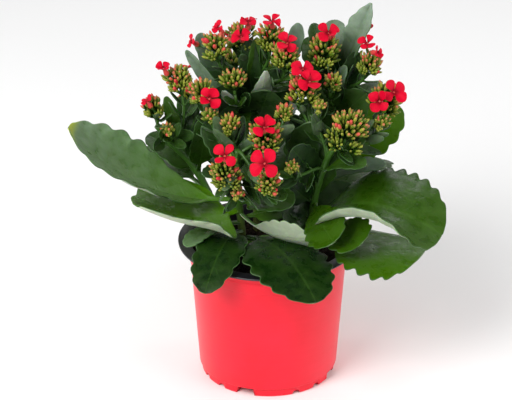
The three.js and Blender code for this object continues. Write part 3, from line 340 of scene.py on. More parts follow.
# An open bloom stands at `at` on its head. `size` is across its petals, and `turn` turns them.
BLOOMS = [
    dict(name="bloom_left_low", head="head_left_low", at=(-79, 0, 196), faces=(-0.5, -0.3, 1), size=9),
    dict(name="bloom_left", head="head_left", at=(-68, 6, 216), faces=(-0.4, -0.4, 1), size=11),
    dict(name="bloom_far_left", head="head_top_left", at=(-51, 27, 226), faces=(-1, -0.4, 0.7), size=9),
    dict(name="bloom_top_end", head="head_top_left", at=(-33, 27, 236), faces=(-0.6, -0.4, 1), size=9),
    dict(name="bloom_top_left", head="head_top", at=(-18, 24, 231), faces=(-0.2, -0.7, 1), size=14),
    dict(name="bloom_top", head="head_top", at=(-13, 36, 237), faces=(0, -0.1, 1), size=12),
    dict(name="bloom_top_middle", head="head_top_middle", at=(2, 26, 241), faces=(-0.1, -0.3, 1), size=14),
    dict(name="bloom_top_front", head="head_top_centre", at=(12, 8, 233), faces=(0.1, -0.6, 1), size=15),
    dict(name="bloom_top_right", head="head_top_right", at=(39, 25, 233), faces=(0, -0.5, 1), size=16),
    dict(name="bloom_right_high", head="head_right_high", at=(64, 22, 227), faces=(0, -0.7, 0.7), size=12),
    dict(name="bloom_right_end", head="head_right_high", at=(71, 14, 224), faces=(0.6, -0.7, 0.4), size=9),
    dict(name="bloom_centre_high", head="head_centre_right", at=(22, -6, 221), faces=(0, -0.4, 1), size=16),
    dict(name="bloom_centre_right", head="head_centre_right", at=(26, -17, 217),
         faces=(0.1, -0.8, 0.7), size=16),
    dict(name="bloom_right", head="head_right_side", at=(81, -5, 204), faces=(0.2, -0.8, 0.6), size=17),
    dict(name="bloom_right_inner", head="head_right_side", at=(71, -11, 200),
         faces=(-0.2, -0.9, 0.4), size=15),
    dict(name="bloom_left_middle", head="head_left_middle", at=(-38, -18, 205),
         faces=(0, -0.8, 0.6), size=16),
    dict(name="bloom_centre", head="head_centre", at=(-3, -46, 198), faces=(0, -0.6, 0.8), size=16),
    dict(name="bloom_front_left", head="head_front_left", at=(-28, -57, 183),
         faces=(-0.1, -0.6, 0.8), size=15),
    dict(name="bloom_front", head="head_front", at=(-3, -64, 181), faces=(0, -0.85, 0.6), size=20),
    dict(name="bloom_back", head="head_back", at=(-26, 75, 210), faces=(0, 0.6, 1), size=16),
    dict(name="bloom_back_low", head="head_back_low", at=(4, 105, 196), faces=(0, 0.8, 0.7), size=16),
    dict(name="bloom_back_right", head="head_back_right", at=(63, 81, 213), faces=(0.2, 0.7, 0.8), size=17,
         turn=-46),
    dict(name="bloom_left_back", head="head_left_back", at=(-56, 58, 192), faces=(-0.6, 0.5, 0.8), size=15),
]

# What a leaf is where its own line says nothing else.
LEAF = dict(faces=(0, 0, 1), width=24, arch=4, left=20, right=20, twist=0, teeth=4, stalk=0.2, bulk=1.5,
            broad=0.88, point=0, tone=0.3, frost_and_sheen=0.05, pale=0.55, left_teeth=1, right_teeth=1, crease=0.6)

# The smallest leaves, low in the plant and between its heads, are too thin for the solids. The low tones
# among them are painted shade.
SMALL_LEAVES = [
    dict(shoot="shoot_right", on=0.47, tip=(56, 16, 127), faces=(-0.2, -0.7, 0.7), width=20, tone=0.1,
         pale=0.3),
    dict(shoot="shoot_right", on=0.36, tip=(9, -14, 122), faces=(0.1, -0.6, 0.8), width=15, tone=0.1),
    dict(shoot="shoot_right", on=0.5, tip=(10, -2, 128), faces=(0.1, -0.7, 0.7), width=17, tone=0.05),
    dict(shoot="shoot_front_left", on=0.44, tip=(29, 4, 116), faces=(0, -0.5, 0.9), width=15, tone=0.6),
    dict(shoot="shoot_front_left", on=0.3, tip=(14, -34, 101), faces=(0.1, -0.5, 0.9), width=13, tone=0.6),
    dict(shoot="shoot_back_right", on=0.92, tip=(29, 46, 231), faces=(0, -0.9, 0.3), width=13, tone=0.2),
    dict(shoot="shoot_back_right", on=0.78, tip=(20, 12, 190), faces=(-0.1, -0.9, 0.3), width=13, tone=0.05),
    dict(shoot="shoot_back", on=0.85, tip=(-13, 30, 226), faces=(0, -0.9, 0.3), width=13, tone=0.1),
    dict(shoot="shoot_left", on=0.8, tip=(-52, 22, 178), faces=(0.2, -0.8, 0.5), width=13, tone=0.1),
]

# ---- small helpers -----------------------------------------------------------------------------
def aim(towards):
    """The turn that lays a shape made along +Z towards a direction."""
    return Vector((0, 0, 1)).rotation_difference(Vector(towards).normalized()).to_matrix().to_4x4()


def blend_step(low, high, value):
    """0 below low, 1 above high, and a smooth rise between them."""
    share = min(max((value - low) / (high - low), 0.0), 1.0)
    return share * share * (3 - 2 * share)


def draw_outline(bm, outline):
    """A chain of edges through points given as radius and height; returns its corners."""
    corners = [bm.verts.new((radius, 0, height)) for radius, height in outline]
    for near, far in zip(corners, corners[1:]):
        bm.edges.new((near, far))
    return corners


def spin_round(bm, steps, merge):
    """Spins what is drawn once round +Z, and merges its seam and poles."""
    bmesh.ops.spin(bm, geom=bm.verts[:] + bm.edges[:], cent=(0, 0, 0), axis=(0, 0, 1),
                   angle=2 * math.pi, steps=steps, use_merge=True)
    bmesh.ops.remove_doubles(bm, verts=bm.verts, dist=merge)


def finish_piece(bm, name, materials, nodes):
    """Turns a millimetre bmesh into a piece in metres that stands for CAD nodes."""
    bmesh.ops.scale(bm, vec=(MM, MM, MM), verts=bm.verts)
    mesh = bpy.data.meshes.new(name)
    bm.to_mesh(mesh)
    bm.free()
    mesh.polygons.foreach_set("use_smooth", [True] * len(mesh.polygons))
    for material in materials:
        mesh.materials.append(material)
    piece = bpy.data.objects.new(name, mesh)
    bpy.context.scene.collection.objects.link(piece)
    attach(piece, "root")
    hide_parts(*nodes)
    return piece


def sweep(bm, points, radii, sides):
    """A stalk: a ring round the first point, extruded from point to point and closed at both ends."""
    last = len(points) - 1
    heading = (points[1] - points[0]).normalized()
    turn = Vector((0, 0, 1)).rotation_difference(heading)
    place = Matrix.Translation(points[0]) @ turn.to_matrix().to_4x4() @ Matrix.Diagonal(
        (radii[0], radii[0], radii[0], 1))
    ring = bmesh.ops.create_circle(bm, cap_ends=True, segments=sides, radius=1, matrix=place)["verts"]
    edges = {edge for vert in ring for edge in vert.link_edges}
    for i in range(1, last + 1):
        ahead = (points[min(i + 1, last)] - points[i - 1]).normalized()
        turn = heading.rotation_difference(ahead) @ turn
        heading = ahead
        new_place = Matrix.Translation(points[i]) @ turn.to_matrix().to_4x4() @ Matrix.Diagonal(
            (radii[i], radii[i], radii[i], 1))
        grown = bmesh.ops.extrude_edge_only(bm, edges=list(edges))["geom"]
        verts = {item for item in grown if isinstance(item, bmesh.types.BMVert)}
        edges = {item for item in grown if isinstance(item, bmesh.types.BMEdge)
                 and verts.issuperset(item.verts)}
        bmesh.ops.transform(bm, matrix=new_place @ place.inverted(), verts=list(verts))
        place = new_place
    bmesh.ops.holes_fill(bm, edges=list(edges))


# ---- materials ---------------------------------------------------------------------------------
def linear(colour):
    """An sRGB hex colour such as 0x2F5A1C as linear red, green, blue and alpha."""
    parts = [((colour >> shift) & 255) / 255 for shift in (16, 8, 0)]
    return tuple(part / 12.92 if part <= 0.04045 else ((part + 0.055) / 1.055) ** 2.4
                 for part in parts) + (1.0,)


def add(tree, kind, settings, feeds):
    """Adds a node. `settings` are its own options; `feeds` are its inputs, each a value or a socket."""
    made = tree.nodes.new(kind)
    for key, value in settings.items():
        setattr(made, key, value)
    for key, value in feeds.items():
        if isinstance(value, bpy.types.NodeSocket):
            tree.links.new(value, made.inputs[key])
        else:
            made.inputs[key].default_value = value
    return made


def start_material(name, roughness, **constants):
    """A material with one Principled shader; returns it, its node tree and the shader."""
    material = bpy.data.materials.new(name)
    material.use_nodes = True
    tree = material.node_tree
    shader = tree.nodes["Principled BSDF"]
    shader.inputs["Roughness"].default_value = roughness
    for socket, value in constants.items():
        shader.inputs[socket.replace("_", " ")].default_value = value
    return material, tree, shader


def leaf_veins(tree, uv, mottle):
    """A thin midrib and faint, wavering side veins. Returns also how far aside of the midrib it is."""
    # v runs from 0 at one margin to 1 at the other; `aside` is 0 on the midrib and 1 at a margin
    centred = add(tree, "ShaderNodeMath", {"operation": "MULTIPLY_ADD"},
                  {0: uv.outputs["Y"], 1: 2.0, 2: -1.0}).outputs[0]
    aside = add(tree, "ShaderNodeMath", {"operation": "ABSOLUTE"}, {0: centred}).outputs[0]
    # u is in centimetres along the blade
    along = add(tree, "ShaderNodeMath", {"operation": "MULTIPLY_ADD"},
                {0: uv.outputs["X"], 1: 10 / VEIN_SPACING, 2: mottle}).outputs[0]
    ranked = add(tree, "ShaderNodeMath", {"operation": "MULTIPLY_ADD"},
                 {0: aside, 1: -VEIN_LEAN, 2: along}).outputs[0]
    wave = add(tree, "ShaderNodeMath", {"operation": "PINGPONG"}, {0: ranked, 1: 0.5}).outputs[0]
    side_vein = add(tree, "ShaderNodeMapRange", {"interpolation_type": "SMOOTHSTEP"},
                    {"Value": wave, "From Min": 0.1, "From Max": 0.0}).outputs[0]
    side_fade = add(tree, "ShaderNodeMapRange", {},
                    {"Value": aside, "From Min": 0.8, "From Max": 0.2, "To Max": 0.5}).outputs[0]
    side_vein = add(tree, "ShaderNodeMath", {"operation": "MULTIPLY"},
                    {0: side_vein, 1: side_fade}).outputs[0]
    midrib = add(tree, "ShaderNodeMapRange", {"interpolation_type": "SMOOTHSTEP"},
                 {"Value": aside, "From Min": 0.07, "From Max": 0.01}).outputs[0]
    veins = add(tree, "ShaderNodeMath", {"operation": "MAXIMUM"}, {0: midrib, 1: side_vein}).outputs[0]
    return aside, veins


def wax_and_sheen_cover(tree, frost_and_sheen, mottle, aside):
    """How thick the grey waxy bloom and the painted sheen lie: more of them towards the margins, and in
    patches.
    """
    patchy = add(tree, "ShaderNodeMapRange", {},
                 {"Value": mottle, "From Min": 0.3, "From Max": 0.7,
                  "To Min": 0.45, "To Max": 1.1}).outputs[0]
    patchy = add(tree, "ShaderNodeMath", {"operation": "MULTIPLY_ADD"},
                 {0: aside, 1: 0.25, 2: patchy}).outputs[0]
    return add(tree, "ShaderNodeMath", {"operation": "MULTIPLY", "use_clamp": True},
               {0: frost_and_sheen, 1: patchy}).outputs[0]


def leaf_skin(name, tone_output, dark, bright, vein, wax_and_sheen_colour, roughness):
    """Waxy leaf skin: mottled green with faint veins, darker or brighter with the leaf's tone, which is
    partly painted shade and light, dull grey where its waxy bloom and painted sheen are thick, a soft gloss.
    """
    mottle_size = 7 * MM
    grain_size = 0.7 * MM
    material, tree, shader = start_material(name, roughness, Specular_IOR_Level=0.2, Subsurface_Weight=0.3,
                                            Subsurface_Radius=(0.4, 1.0, 0.1), Subsurface_Scale=2.5 * MM)
    look = add(tree, "ShaderNodeAttribute", {"attribute_name": "leaf_look"}, {})
    parts = add(tree, "ShaderNodeSeparateColor", {}, {"Color": look.outputs["Color"]})
    frost_and_sheen, fade = parts.outputs["Green"], parts.outputs["Blue"]
    tone = look.outputs["Alpha"] if tone_output == "Alpha" else parts.outputs[tone_output]
    place = add(tree, "ShaderNodeTexCoord", {}, {})
    uv = add(tree, "ShaderNodeSeparateXYZ", {}, {"Vector": place.outputs["UV"]})
    mottle = add(tree, "ShaderNodeTexNoise", {},
                 {"Vector": place.outputs["Object"], "Scale": 1 / mottle_size, "Detail": 4.0}).outputs["Fac"]
    grain = add(tree, "ShaderNodeTexNoise", {},
                {"Vector": place.outputs["Object"], "Scale": 1 / grain_size, "Detail": 2.0}).outputs["Fac"]
    aside, veins = leaf_veins(tree, uv, mottle)
    # the green runs from dark to bright with the leaf's tone, which is partly painted light and shade, in
    # soft patches
    shade = add(tree, "ShaderNodeMath", {"operation": "MULTIPLY_ADD"},
                {0: mottle, 1: 0.4, 2: -0.2}).outputs[0]
    shade = add(tree, "ShaderNodeMath", {"operation": "ADD", "use_clamp": True},
                {0: shade, 1: tone}).outputs[0]
    colour = add(tree, "ShaderNodeMix", {"data_type": "RGBA"}, {0: shade, 6: linear(dark), 7: linear(bright)})
    vein_share = add(tree, "ShaderNodeMath", {"operation": "MULTIPLY"}, {0: veins, 1: 0.12}).outputs[0]
    colour = add(tree, "ShaderNodeMix", {"data_type": "RGBA"},
                 {0: vein_share, 6: colour.outputs[2], 7: linear(vein)})
    # the grey of the waxy bloom, with a painted sheen mixed into it
    wax_and_sheen_share = wax_and_sheen_cover(tree, frost_and_sheen, mottle, aside)
    colour = add(tree, "ShaderNodeMix", {"data_type": "RGBA"},
                 {0: wax_and_sheen_share, 6: colour.outputs[2], 7: linear(wax_and_sheen_colour)})
    colour = add(tree, "ShaderNodeMix", {"data_type": "RGBA"},
                 {0: fade, 6: colour.outputs[2], 7: linear(WORN_YELLOW)})
    tree.links.new(colour.outputs[2], shader.inputs["Base Color"])
    # the gloss is uneven, and duller under the waxy bloom and its painted sheen
    gloss = add(tree, "ShaderNodeMapRange", {},
                {"Value": mottle, "From Min": 0.35, "From Max": 0.65,
                 "To Min": roughness - 0.1, "To Max": roughness + 0.2}).outputs[0]
    gloss = add(tree, "ShaderNodeMath", {"operation": "MULTIPLY_ADD", "use_clamp": True},
                {0: wax_and_sheen_share, 1: 0.2, 2: gloss}).outputs[0]
    tree.links.new(gloss, shader.inputs["Roughness"])
    relief = add(tree, "ShaderNodeMath", {"operation": "MULTIPLY"}, {0: mottle, 1: 7.0}).outputs[0]
    relief = add(tree, "ShaderNodeMath", {"operation": "MULTIPLY_ADD"},
                 {0: grain, 1: 0.3, 2: relief}).outputs[0]
    relief = add(tree, "ShaderNodeMath", {"operation": "SUBTRACT"}, {0: relief, 1: veins}).outputs[0]
    bump = add(tree, "ShaderNodeBump", {}, {"Height": relief, "Distance": 0.15 * MM, "Strength": 0.7})
    tree.links.new(bump.outputs[0], shader.inputs["Normal"])
    return material


def leaf_margin():
    """The thin round edge of a fleshy leaf: a lighter, yellower green than its face, and matt."""
    mottle_size = 4 * MM
    material, tree, shader = start_material("waxy leaf margin", 0.5)
    place = add(tree, "ShaderNodeTexCoord", {}, {})
    mottle = add(tree, "ShaderNodeTexNoise", {},
                 {"Vector": place.outputs["Object"], "Scale": 1 / mottle_size}).outputs["Fac"]
    colour = add(tree, "ShaderNodeMix", {"data_type": "RGBA"},
                 {0: mottle, 6: linear(MARGIN_DARK), 7: linear(MARGIN_LIGHT)})
    tree.links.new(colour.outputs[2], shader.inputs["Base Color"])
    return material


def stem_skin():
    """Succulent stem: pale green, darkened throughout as painted shade, with a soft waxy shine, and browner
    low down where it has corked.
    """
    fibre_width = 0.9 * MM
    material, tree, shader = start_material("green succulent stem with painted shade", 0.42)
    place = add(tree, "ShaderNodeTexCoord", {}, {})
    height = add(tree, "ShaderNodeSeparateXYZ", {}, {"Vector": place.outputs["Object"]}).outputs["Z"]
    streaks = add(tree, "ShaderNodeMapping", {}, {"Vector": place.outputs["Object"], "Scale": (1, 1, 0.15)})
    fibre = add(tree, "ShaderNodeTexNoise", {},
                {"Vector": streaks.outputs[0], "Scale": 1 / fibre_width, "Detail": 3.0}).outputs["Fac"]
    colour = add(tree, "ShaderNodeMix", {"data_type": "RGBA"},
                 {0: fibre, 6: linear(SHADED_STEM_DARK), 7: linear(SHADED_STEM_BRIGHT)})
    corky = add(tree, "ShaderNodeMapRange", {},
                {"Value": height, "From Min": 125 * MM, "From Max": 80 * MM, "To Max": 0.75}).outputs[0]
    colour = add(tree, "ShaderNodeMix", {"data_type": "RGBA"},
                 {0: corky, 6: colour.outputs[2], 7: linear(CORK_BROWN)})
    tree.links.new(colour.outputs[2], shader.inputs["Base Color"])
    bump = add(tree, "ShaderNodeBump", {}, {"Height": fibre, "Distance": 0.2 * MM, "Strength": 0.6})
    tree.links.new(bump.outputs[0], shader.inputs["Normal"])
    return material


def bud_skin():
    """Closed bud: green at its calyx, yellow-green over its swell, salmon to red where it will open."""
    speck_size = 1.2 * MM
    material, tree, shader = start_material("closed bud skin", 0.45, Specular_IOR_Level=0.35)
    look = add(tree, "ShaderNodeAttribute", {"attribute_name": "bud_look"}, {})
    look = add(tree, "ShaderNodeSeparateColor", {}, {"Color": look.outputs["Color"]})
    height, ripe, chance = look.outputs[0], look.outputs[1], look.outputs[2]
    place = add(tree, "ShaderNodeTexCoord", {}, {})
    speck = add(tree, "ShaderNodeTexNoise", {},
                {"Vector": place.outputs["Object"], "Scale": 1 / speck_size, "Detail": 2.0}).outputs["Fac"]
    colour = add(tree, "ShaderNodeMix", {"data_type": "RGBA"},
                 {0: chance, 6: linear(BUD_GREEN), 7: linear(BUD_YELLOW)})
    low = add(tree, "ShaderNodeMapRange", {"interpolation_type": "SMOOTHSTEP"},
              {"Value": height, "From Min": 0.4, "From Max": 0.0}).outputs[0]
    colour = add(tree, "ShaderNodeMix", {"data_type": "RGBA"},
                 {0: low, 6: colour.outputs[2], 7: linear(CALYX_GREEN)})
    # the blush starts at the point, and comes lower on a riper bud
    blush = add(tree, "ShaderNodeMath", {"operation": "MULTIPLY_ADD"},
                {0: ripe, 1: 0.9, 2: height}).outputs[0]
    blush = add(tree, "ShaderNodeMath", {"operation": "MULTIPLY_ADD"},
                {0: speck, 1: 0.3, 2: blush}).outputs[0]
    blush = add(tree, "ShaderNodeMapRange", {"interpolation_type": "SMOOTHSTEP"},
                {"Value": blush, "From Min": 0.95, "From Max": 1.4}).outputs[0]
    tip = add(tree, "ShaderNodeMix", {"data_type": "RGBA"},
              {0: ripe, 6: linear(TIP_SALMON), 7: linear(TIP_RED)})
    colour = add(tree, "ShaderNodeMix", {"data_type": "RGBA"},
                 {0: blush, 6: colour.outputs[2], 7: tip.outputs[2]})
    tree.links.new(colour.outputs[2], shader.inputs["Base Color"])
    bump = add(tree, "ShaderNodeBump", {}, {"Height": speck, "Distance": 0.15 * MM, "Strength": 0.5})
    tree.links.new(bump.outputs[0], shader.inputs["Normal"])
    return material


def petal_skin():
    """Fresh petal: velvety saturated red, darker towards the throat, with fine lengthwise streaks."""
    material, tree, shader = start_material("velvety red petal", 0.6, Specular_IOR_Level=0.12)
    place = add(tree, "ShaderNodeTexCoord", {}, {})
    uv = add(tree, "ShaderNodeSeparateXYZ", {}, {"Vector": place.outputs["UV"]})
    # u runs out along a petal and v across it, so the pattern is drawn out along u
    streaks = add(tree, "ShaderNodeMapping", {}, {"Vector": place.outputs["UV"], "Scale": (1.5, 14, 1)})
    streak = add(tree, "ShaderNodeTexNoise", {},
                 {"Vector": streaks.outputs[0], "Scale": 2.0, "Detail": 3.0}).outputs["Fac"]
    colour = add(tree, "ShaderNodeMix", {"data_type": "RGBA"},
                 {0: streak, 6: linear(PETAL_DEEP), 7: linear(PETAL_BRIGHT)})
    throat = add(tree, "ShaderNodeMapRange", {"interpolation_type": "SMOOTHSTEP"},
                 {"Value": uv.outputs["X"], "From Min": 0.45, "From Max": 0.05}).outputs[0]
    colour = add(tree, "ShaderNodeMix", {"data_type": "RGBA"},
                 {0: throat, 6: colour.outputs[2], 7: linear(THROAT_RED)})
    tree.links.new(colour.outputs[2], shader.inputs["Base Color"])
    bump = add(tree, "ShaderNodeBump", {}, {"Height": streak, "Distance": 0.2 * MM, "Strength": 0.6})
    tree.links.new(bump.outputs[0], shader.inputs["Normal"])
    return material


def pot_plastic(name, deep, light, roughness, specular):
    """Thermoformed polypropylene sheet: satin, faintly drawn in level rings, with slight unevenness."""
    cloud_size = 30 * MM
    ring_height = 2.5 * MM
    material, tree, shader = start_material(name, roughness, Specular_IOR_Level=specular)
    place = add(tree, "ShaderNodeTexCoord", {}, {})
    cloud = add(tree, "ShaderNodeTexNoise", {},
                {"Vector": place.outputs["Object"], "Scale": 1 / cloud_size, "Detail": 3.0}).outputs["Fac"]
    rings = add(tree, "ShaderNodeMapping", {}, {"Vector": place.outputs["Object"], "Scale": (0.06, 0.06, 1)})
    ring = add(tree, "ShaderNodeTexNoise", {},
               {"Vector": rings.outputs[0], "Scale": 1 / ring_height, "Detail": 2.0}).outputs["Fac"]
    mixed = add(tree, "ShaderNodeMath", {"operation": "MULTIPLY_ADD"},
                {0: ring, 1: 0.3, 2: cloud}).outputs[0]
    share = add(tree, "ShaderNodeMapRange", {}, {"Value": mixed, "From Min": 0.4, "From Max": 0.9}).outputs[0]
    colour = add(tree, "ShaderNodeMix", {"data_type": "RGBA"}, {0: share, 6: linear(deep), 7: linear(light)})
    tree.links.new(colour.outputs[2], shader.inputs["Base Color"])
    gloss = add(tree, "ShaderNodeMapRange", {},
                {"Value": cloud, "To Min": roughness - 0.05, "To Max": roughness + 0.07}).outputs[0]
    tree.links.new(gloss, shader.inputs["Roughness"])
    bump = add(tree, "ShaderNodeBump", {}, {"Height": mixed, "Distance": 0.25 * MM, "Strength": 0.5})
    tree.links.new(bump.outputs[0], shader.inputs["Normal"])
    return material


def peat():
    """Damp peat mix: near black and matt, with browner crumbs of 1 to 3 mm."""
    crumb_size = 2.2 * MM
    dust_size = 1 * MM
    material, tree, shader = start_material("damp peat", 0.92, Specular_IOR_Level=0.2)
    place = add(tree, "ShaderNodeTexCoord", {}, {})
    crumb = add(tree, "ShaderNodeTexVoronoi", {},
                {"Vector": place.outputs["Object"], "Scale": 1 / crumb_size}).outputs["Distance"]
    dust = add(tree, "ShaderNodeTexNoise", {},
               {"Vector": place.outputs["Object"], "Scale": 1 / dust_size, "Detail": 4.0}).outputs["Fac"]
    share = add(tree, "ShaderNodeMath", {"operation": "MULTIPLY"}, {0: dust, 1: crumb}).outputs[0]
    colour = add(tree, "ShaderNodeMix", {"data_type": "RGBA"},
                 {0: share, 6: linear(PEAT_DARK), 7: linear(PEAT_BROWN)})
    tree.links.new(colour.outputs[2], shader.inputs["Base Color"])
    bump = add(tree, "ShaderNodeBump", {}, {"Height": dust, "Distance": 0.8 * MM, "Strength": 0.9})
    tree.links.new(bump.outputs[0], shader.inputs["Normal"])
    return material


# a leaf's tone, partly painted light and shade, is in the red of its `leaf_look`, and its underside's in the
# alpha
LEAF_TOP = leaf_skin("waxy leaf upper skin", "Red", LEAF_DARK_AND_SHADED, LEAF_BRIGHT, LEAF_VEIN, LEAF_WAX_AND_SHEEN, 0.3)
LEAF_UNDER = leaf_skin("pale leaf underside", "Alpha", UNDERSIDE_GREEN, UNDERSIDE_PALE, UNDERSIDE_VEIN,
                       UNDERSIDE_WAX, 0.45)
LEAF_MARGIN = leaf_margin()
STEM = stem_skin()
BUD = bud_skin()
PETAL = petal_skin()
POT_RED = pot_plastic("red polypropylene", POT_RED_DEEP, POT_RED_LIGHT, 0.34, 0.4)
POT_BLACK = pot_plastic("black polypropylene", POT_BLACK_DEEP, POT_BLACK_LIGHT, 0.36, 0.6)
PEAT = peat()


# ---- pot ---------------------------------------------------------------------------------------
def body_radius(z):
    """The body's outer radius at a height: its wall widens evenly from the foot to the lip."""
    return BODY_BASE_RADIUS + (BODY_TOP_RADIUS - BODY_BASE_RADIUS) * z / POT_HEIGHT


def pot_outline():
    """Half a section of the pot, from the middle of its underside round to the middle of its floor."""
    floor = FOOT_HEIGHT + FLOOR_THICKNESS
    foot = body_radius(0) - FOOT_INSET
    top = body_radius(POT_HEIGHT)
    under_lip = POT_HEIGHT - LIP_THICKNESS
    low, high = body_radius(BEAD_LOW), body_radius(BEAD_HIGH)
    hole_in, hole_out = DRAIN_CIRCLE - DRAIN_WIDTH / 2, DRAIN_CIRCLE + DRAIN_WIDTH / 2
    # radius, height and the radius of the round at that corner
    underside = [(0, 0, 0), (BOSS_RADIUS, 0, 0.8), (BOSS_RADIUS + BOSS_DRAFT, FOOT_HEIGHT, 0.8),
                 (hole_in, FOOT_HEIGHT, 0), (hole_out, FOOT_HEIGHT, 0),
                 (FOOT_INNER_RADIUS, FOOT_HEIGHT, 0.5), (FOOT_INNER_RADIUS + FOOT_DRAFT, 0, 0.8),
                 (foot, 0, 0.9), (foot, FOOT_HEIGHT, 0.3)]
    outside = [(body_radius(FOOT_HEIGHT), FOOT_HEIGHT + FOOT_LEDGE, 0.5), (low, BEAD_LOW, 0.4),
               (low + BEAD_RISE, BEAD_LOW + BEAD_STEP, 0.4), (high + BEAD_RISE, BEAD_HIGH, 0.4),
               (high, BEAD_HIGH + BEAD_STEP, 0.4), (top, under_lip, 0.5), (LIP_RADIUS, under_lip, 0.5),
               (LIP_RADIUS, POT_HEIGHT, 0.5)]
    inside = [(top - WALL, POT_HEIGHT, 1.0), (body_radius(floor) - WALL, floor, 1.5),
              (hole_out, floor, 0), (hole_in, floor, 0), (0, floor, 0)]
    return underside + outside + inside


def notch_height(degrees):
    """How high the foot ring is cut away at an angle."""
    turned = (degrees - FIRST_DEEP_NOTCH) % 90
    if min(turned, 90 - turned) < DEEP_NOTCH_ANGLE / 2:
        return DEEP_NOTCH_HEIGHT
    if any(abs(turned - step) < SHALLOW_NOTCH_ANGLE / 2 for step in SHALLOW_NOTCH_STEPS):
        return SHALLOW_NOTCH_HEIGHT
    return 0.0


def cut_notches(bm):
    """Lifts the foot ring's lower edge where it is notched."""
    for vert in bm.verts:
        radius = math.hypot(vert.co.x, vert.co.y)
        if radius > FOOT_INNER_RADIUS - 0.5:
            angle = math.degrees(math.atan2(vert.co.y, vert.co.x))
            vert.co.z = max(vert.co.z, notch_height(angle))


def open_drain_holes(bm):
    """Four drain holes: a sector of the floor is taken out above and below, and its edges are joined."""
    floor = FOOT_HEIGHT + FLOOR_THICKNESS
    for quarter in range(4):
        middle = math.radians(FIRST_DEEP_NOTCH + 90 * quarter + DRAIN_STEP)
        centre = Vector((DRAIN_CIRCLE * math.cos(middle), DRAIN_CIRCLE * math.sin(middle), floor))
        taken = []
        for face in bm.faces:
            at = face.calc_center_median()
            level = min(abs(at.z - FOOT_HEIGHT), abs(at.z - floor)) < 0.01
            near = (at.xy - centre.xy).length < DRAIN_WIDTH / 2 + 0.3
            if level and near and abs(at.xy.length - DRAIN_CIRCLE) < 1:
                taken.append(face)
        rim = {edge for face in taken for edge in face.edges
               if sum(other in taken for other in edge.link_faces) == 1}
        bmesh.ops.delete(bm, geom=taken, context="FACES_KEEP_BOUNDARY")
        bmesh.ops.bridge_loops(bm, edges=list(rim))


def make_pot():
    """The pot, turned from its section, with a sheet that is red outside and black inside and on top."""
    bm = bmesh.new()
    outline = pot_outline()
    corners = draw_outline(bm, [(radius, height) for radius, height, _ in outline])
    for size in sorted({size for _, _, size in outline if size}):
        rounded = [vert for vert, corner in zip(corners, outline) if corner[2] == size]
        bmesh.ops.bevel(bm, geom=rounded, offset=size, segments=3, profile=0.5, affect="VERTICES",
                        material=-1)
    spin_round(bm, POT_SEGMENTS, 0.01)
    cut_notches(bm)
    open_drain_holes(bm)
    bmesh.ops.recalc_face_normals(bm, faces=bm.faces)
    for face in bm.faces:
        at = face.calc_center_median()
        below_lip = at.z < POT_HEIGHT - LIP_THICKNESS + 0.02
        outside = below_lip and at.xy.length > body_radius(at.z) - 0.5 * WALL
        under = at.z < FOOT_HEIGHT + 0.3
        face.material_index = 0 if outside or under else 1
    finish_piece(bm, "two_tone_pot", [POT_RED, POT_BLACK], ["pot"])


# ---- potting mix -------------------------------------------------------------------------------
def soil_height(x, y):
    """The height of the mix's gently uneven top."""
    relief = math.sin(0.31 * x + 1) * math.cos(0.27 * y) + 0.6 * math.sin(0.71 * x - 0.53 * y)
    return SOIL_LEVEL + SOIL_RELIEF * relief


def add_crumbs(bm, outer):
    """Loose crumbs, 1 to 3 mm, half sunk."""
    chance = random.Random(7)
    for _ in range(CRUMBS):
        radius = outer * math.sqrt(chance.random()) * 0.97
        turn = chance.uniform(0, 2 * math.pi)
        x, y = radius * math.cos(turn), radius * math.sin(turn)
        size = chance.uniform(*CRUMB_RADII)
        tumble = Matrix.Rotation(chance.uniform(0, 3), 4,
                                 Vector((chance.random(), chance.random(), chance.random() + 0.1)))
        shape = Matrix.Diagonal((size, size * chance.uniform(0.6, 1), size * chance.uniform(0.5, 0.9), 1))
        place = Matrix.Translation((x, y, soil_height(x, y) + CRUMB_RISE)) @ tumble @ shape
        bmesh.ops.create_icosphere(bm, subdivisions=1, radius=1, matrix=place)


def make_soil():
    """The mix: a plug that fills the pot, with a lumpy top and crumbs on it."""
    bm = bmesh.new()
    bottom = FOOT_HEIGHT + FLOOR_THICKNESS + SOIL_GAP
    outer = body_radius(SOIL_LEVEL) - WALL - SOIL_GAP
    outline = [(0, bottom), (body_radius(bottom) - WALL - 0.4, bottom), (outer, SOIL_LEVEL - SOIL_EDGE)]
    outline += [(outer * (1 - i / SOIL_RINGS) - 0.2, SOIL_LEVEL) for i in range(SOIL_RINGS)]
    outline += [(0, SOIL_LEVEL)]
    draw_outline(bm, [(max(radius, 0), height) for radius, height in outline])
    spin_round(bm, SOIL_SEGMENTS, 0.01)
    bmesh.ops.recalc_face_normals(bm, faces=bm.faces)
    for vert in bm.verts:
        if vert.co.z > SOIL_LEVEL - 1:
            lumps = noise.fractal(vert.co / LUMP_SIZE, 0.9, 2.2, 4)
            vert.co.z = soil_height(vert.co.x, vert.co.y) + LUMP_RISE * lumps
    add_crumbs(bm, outer)
    finish_piece(bm, "peat_mix", [PEAT], ["soil"])


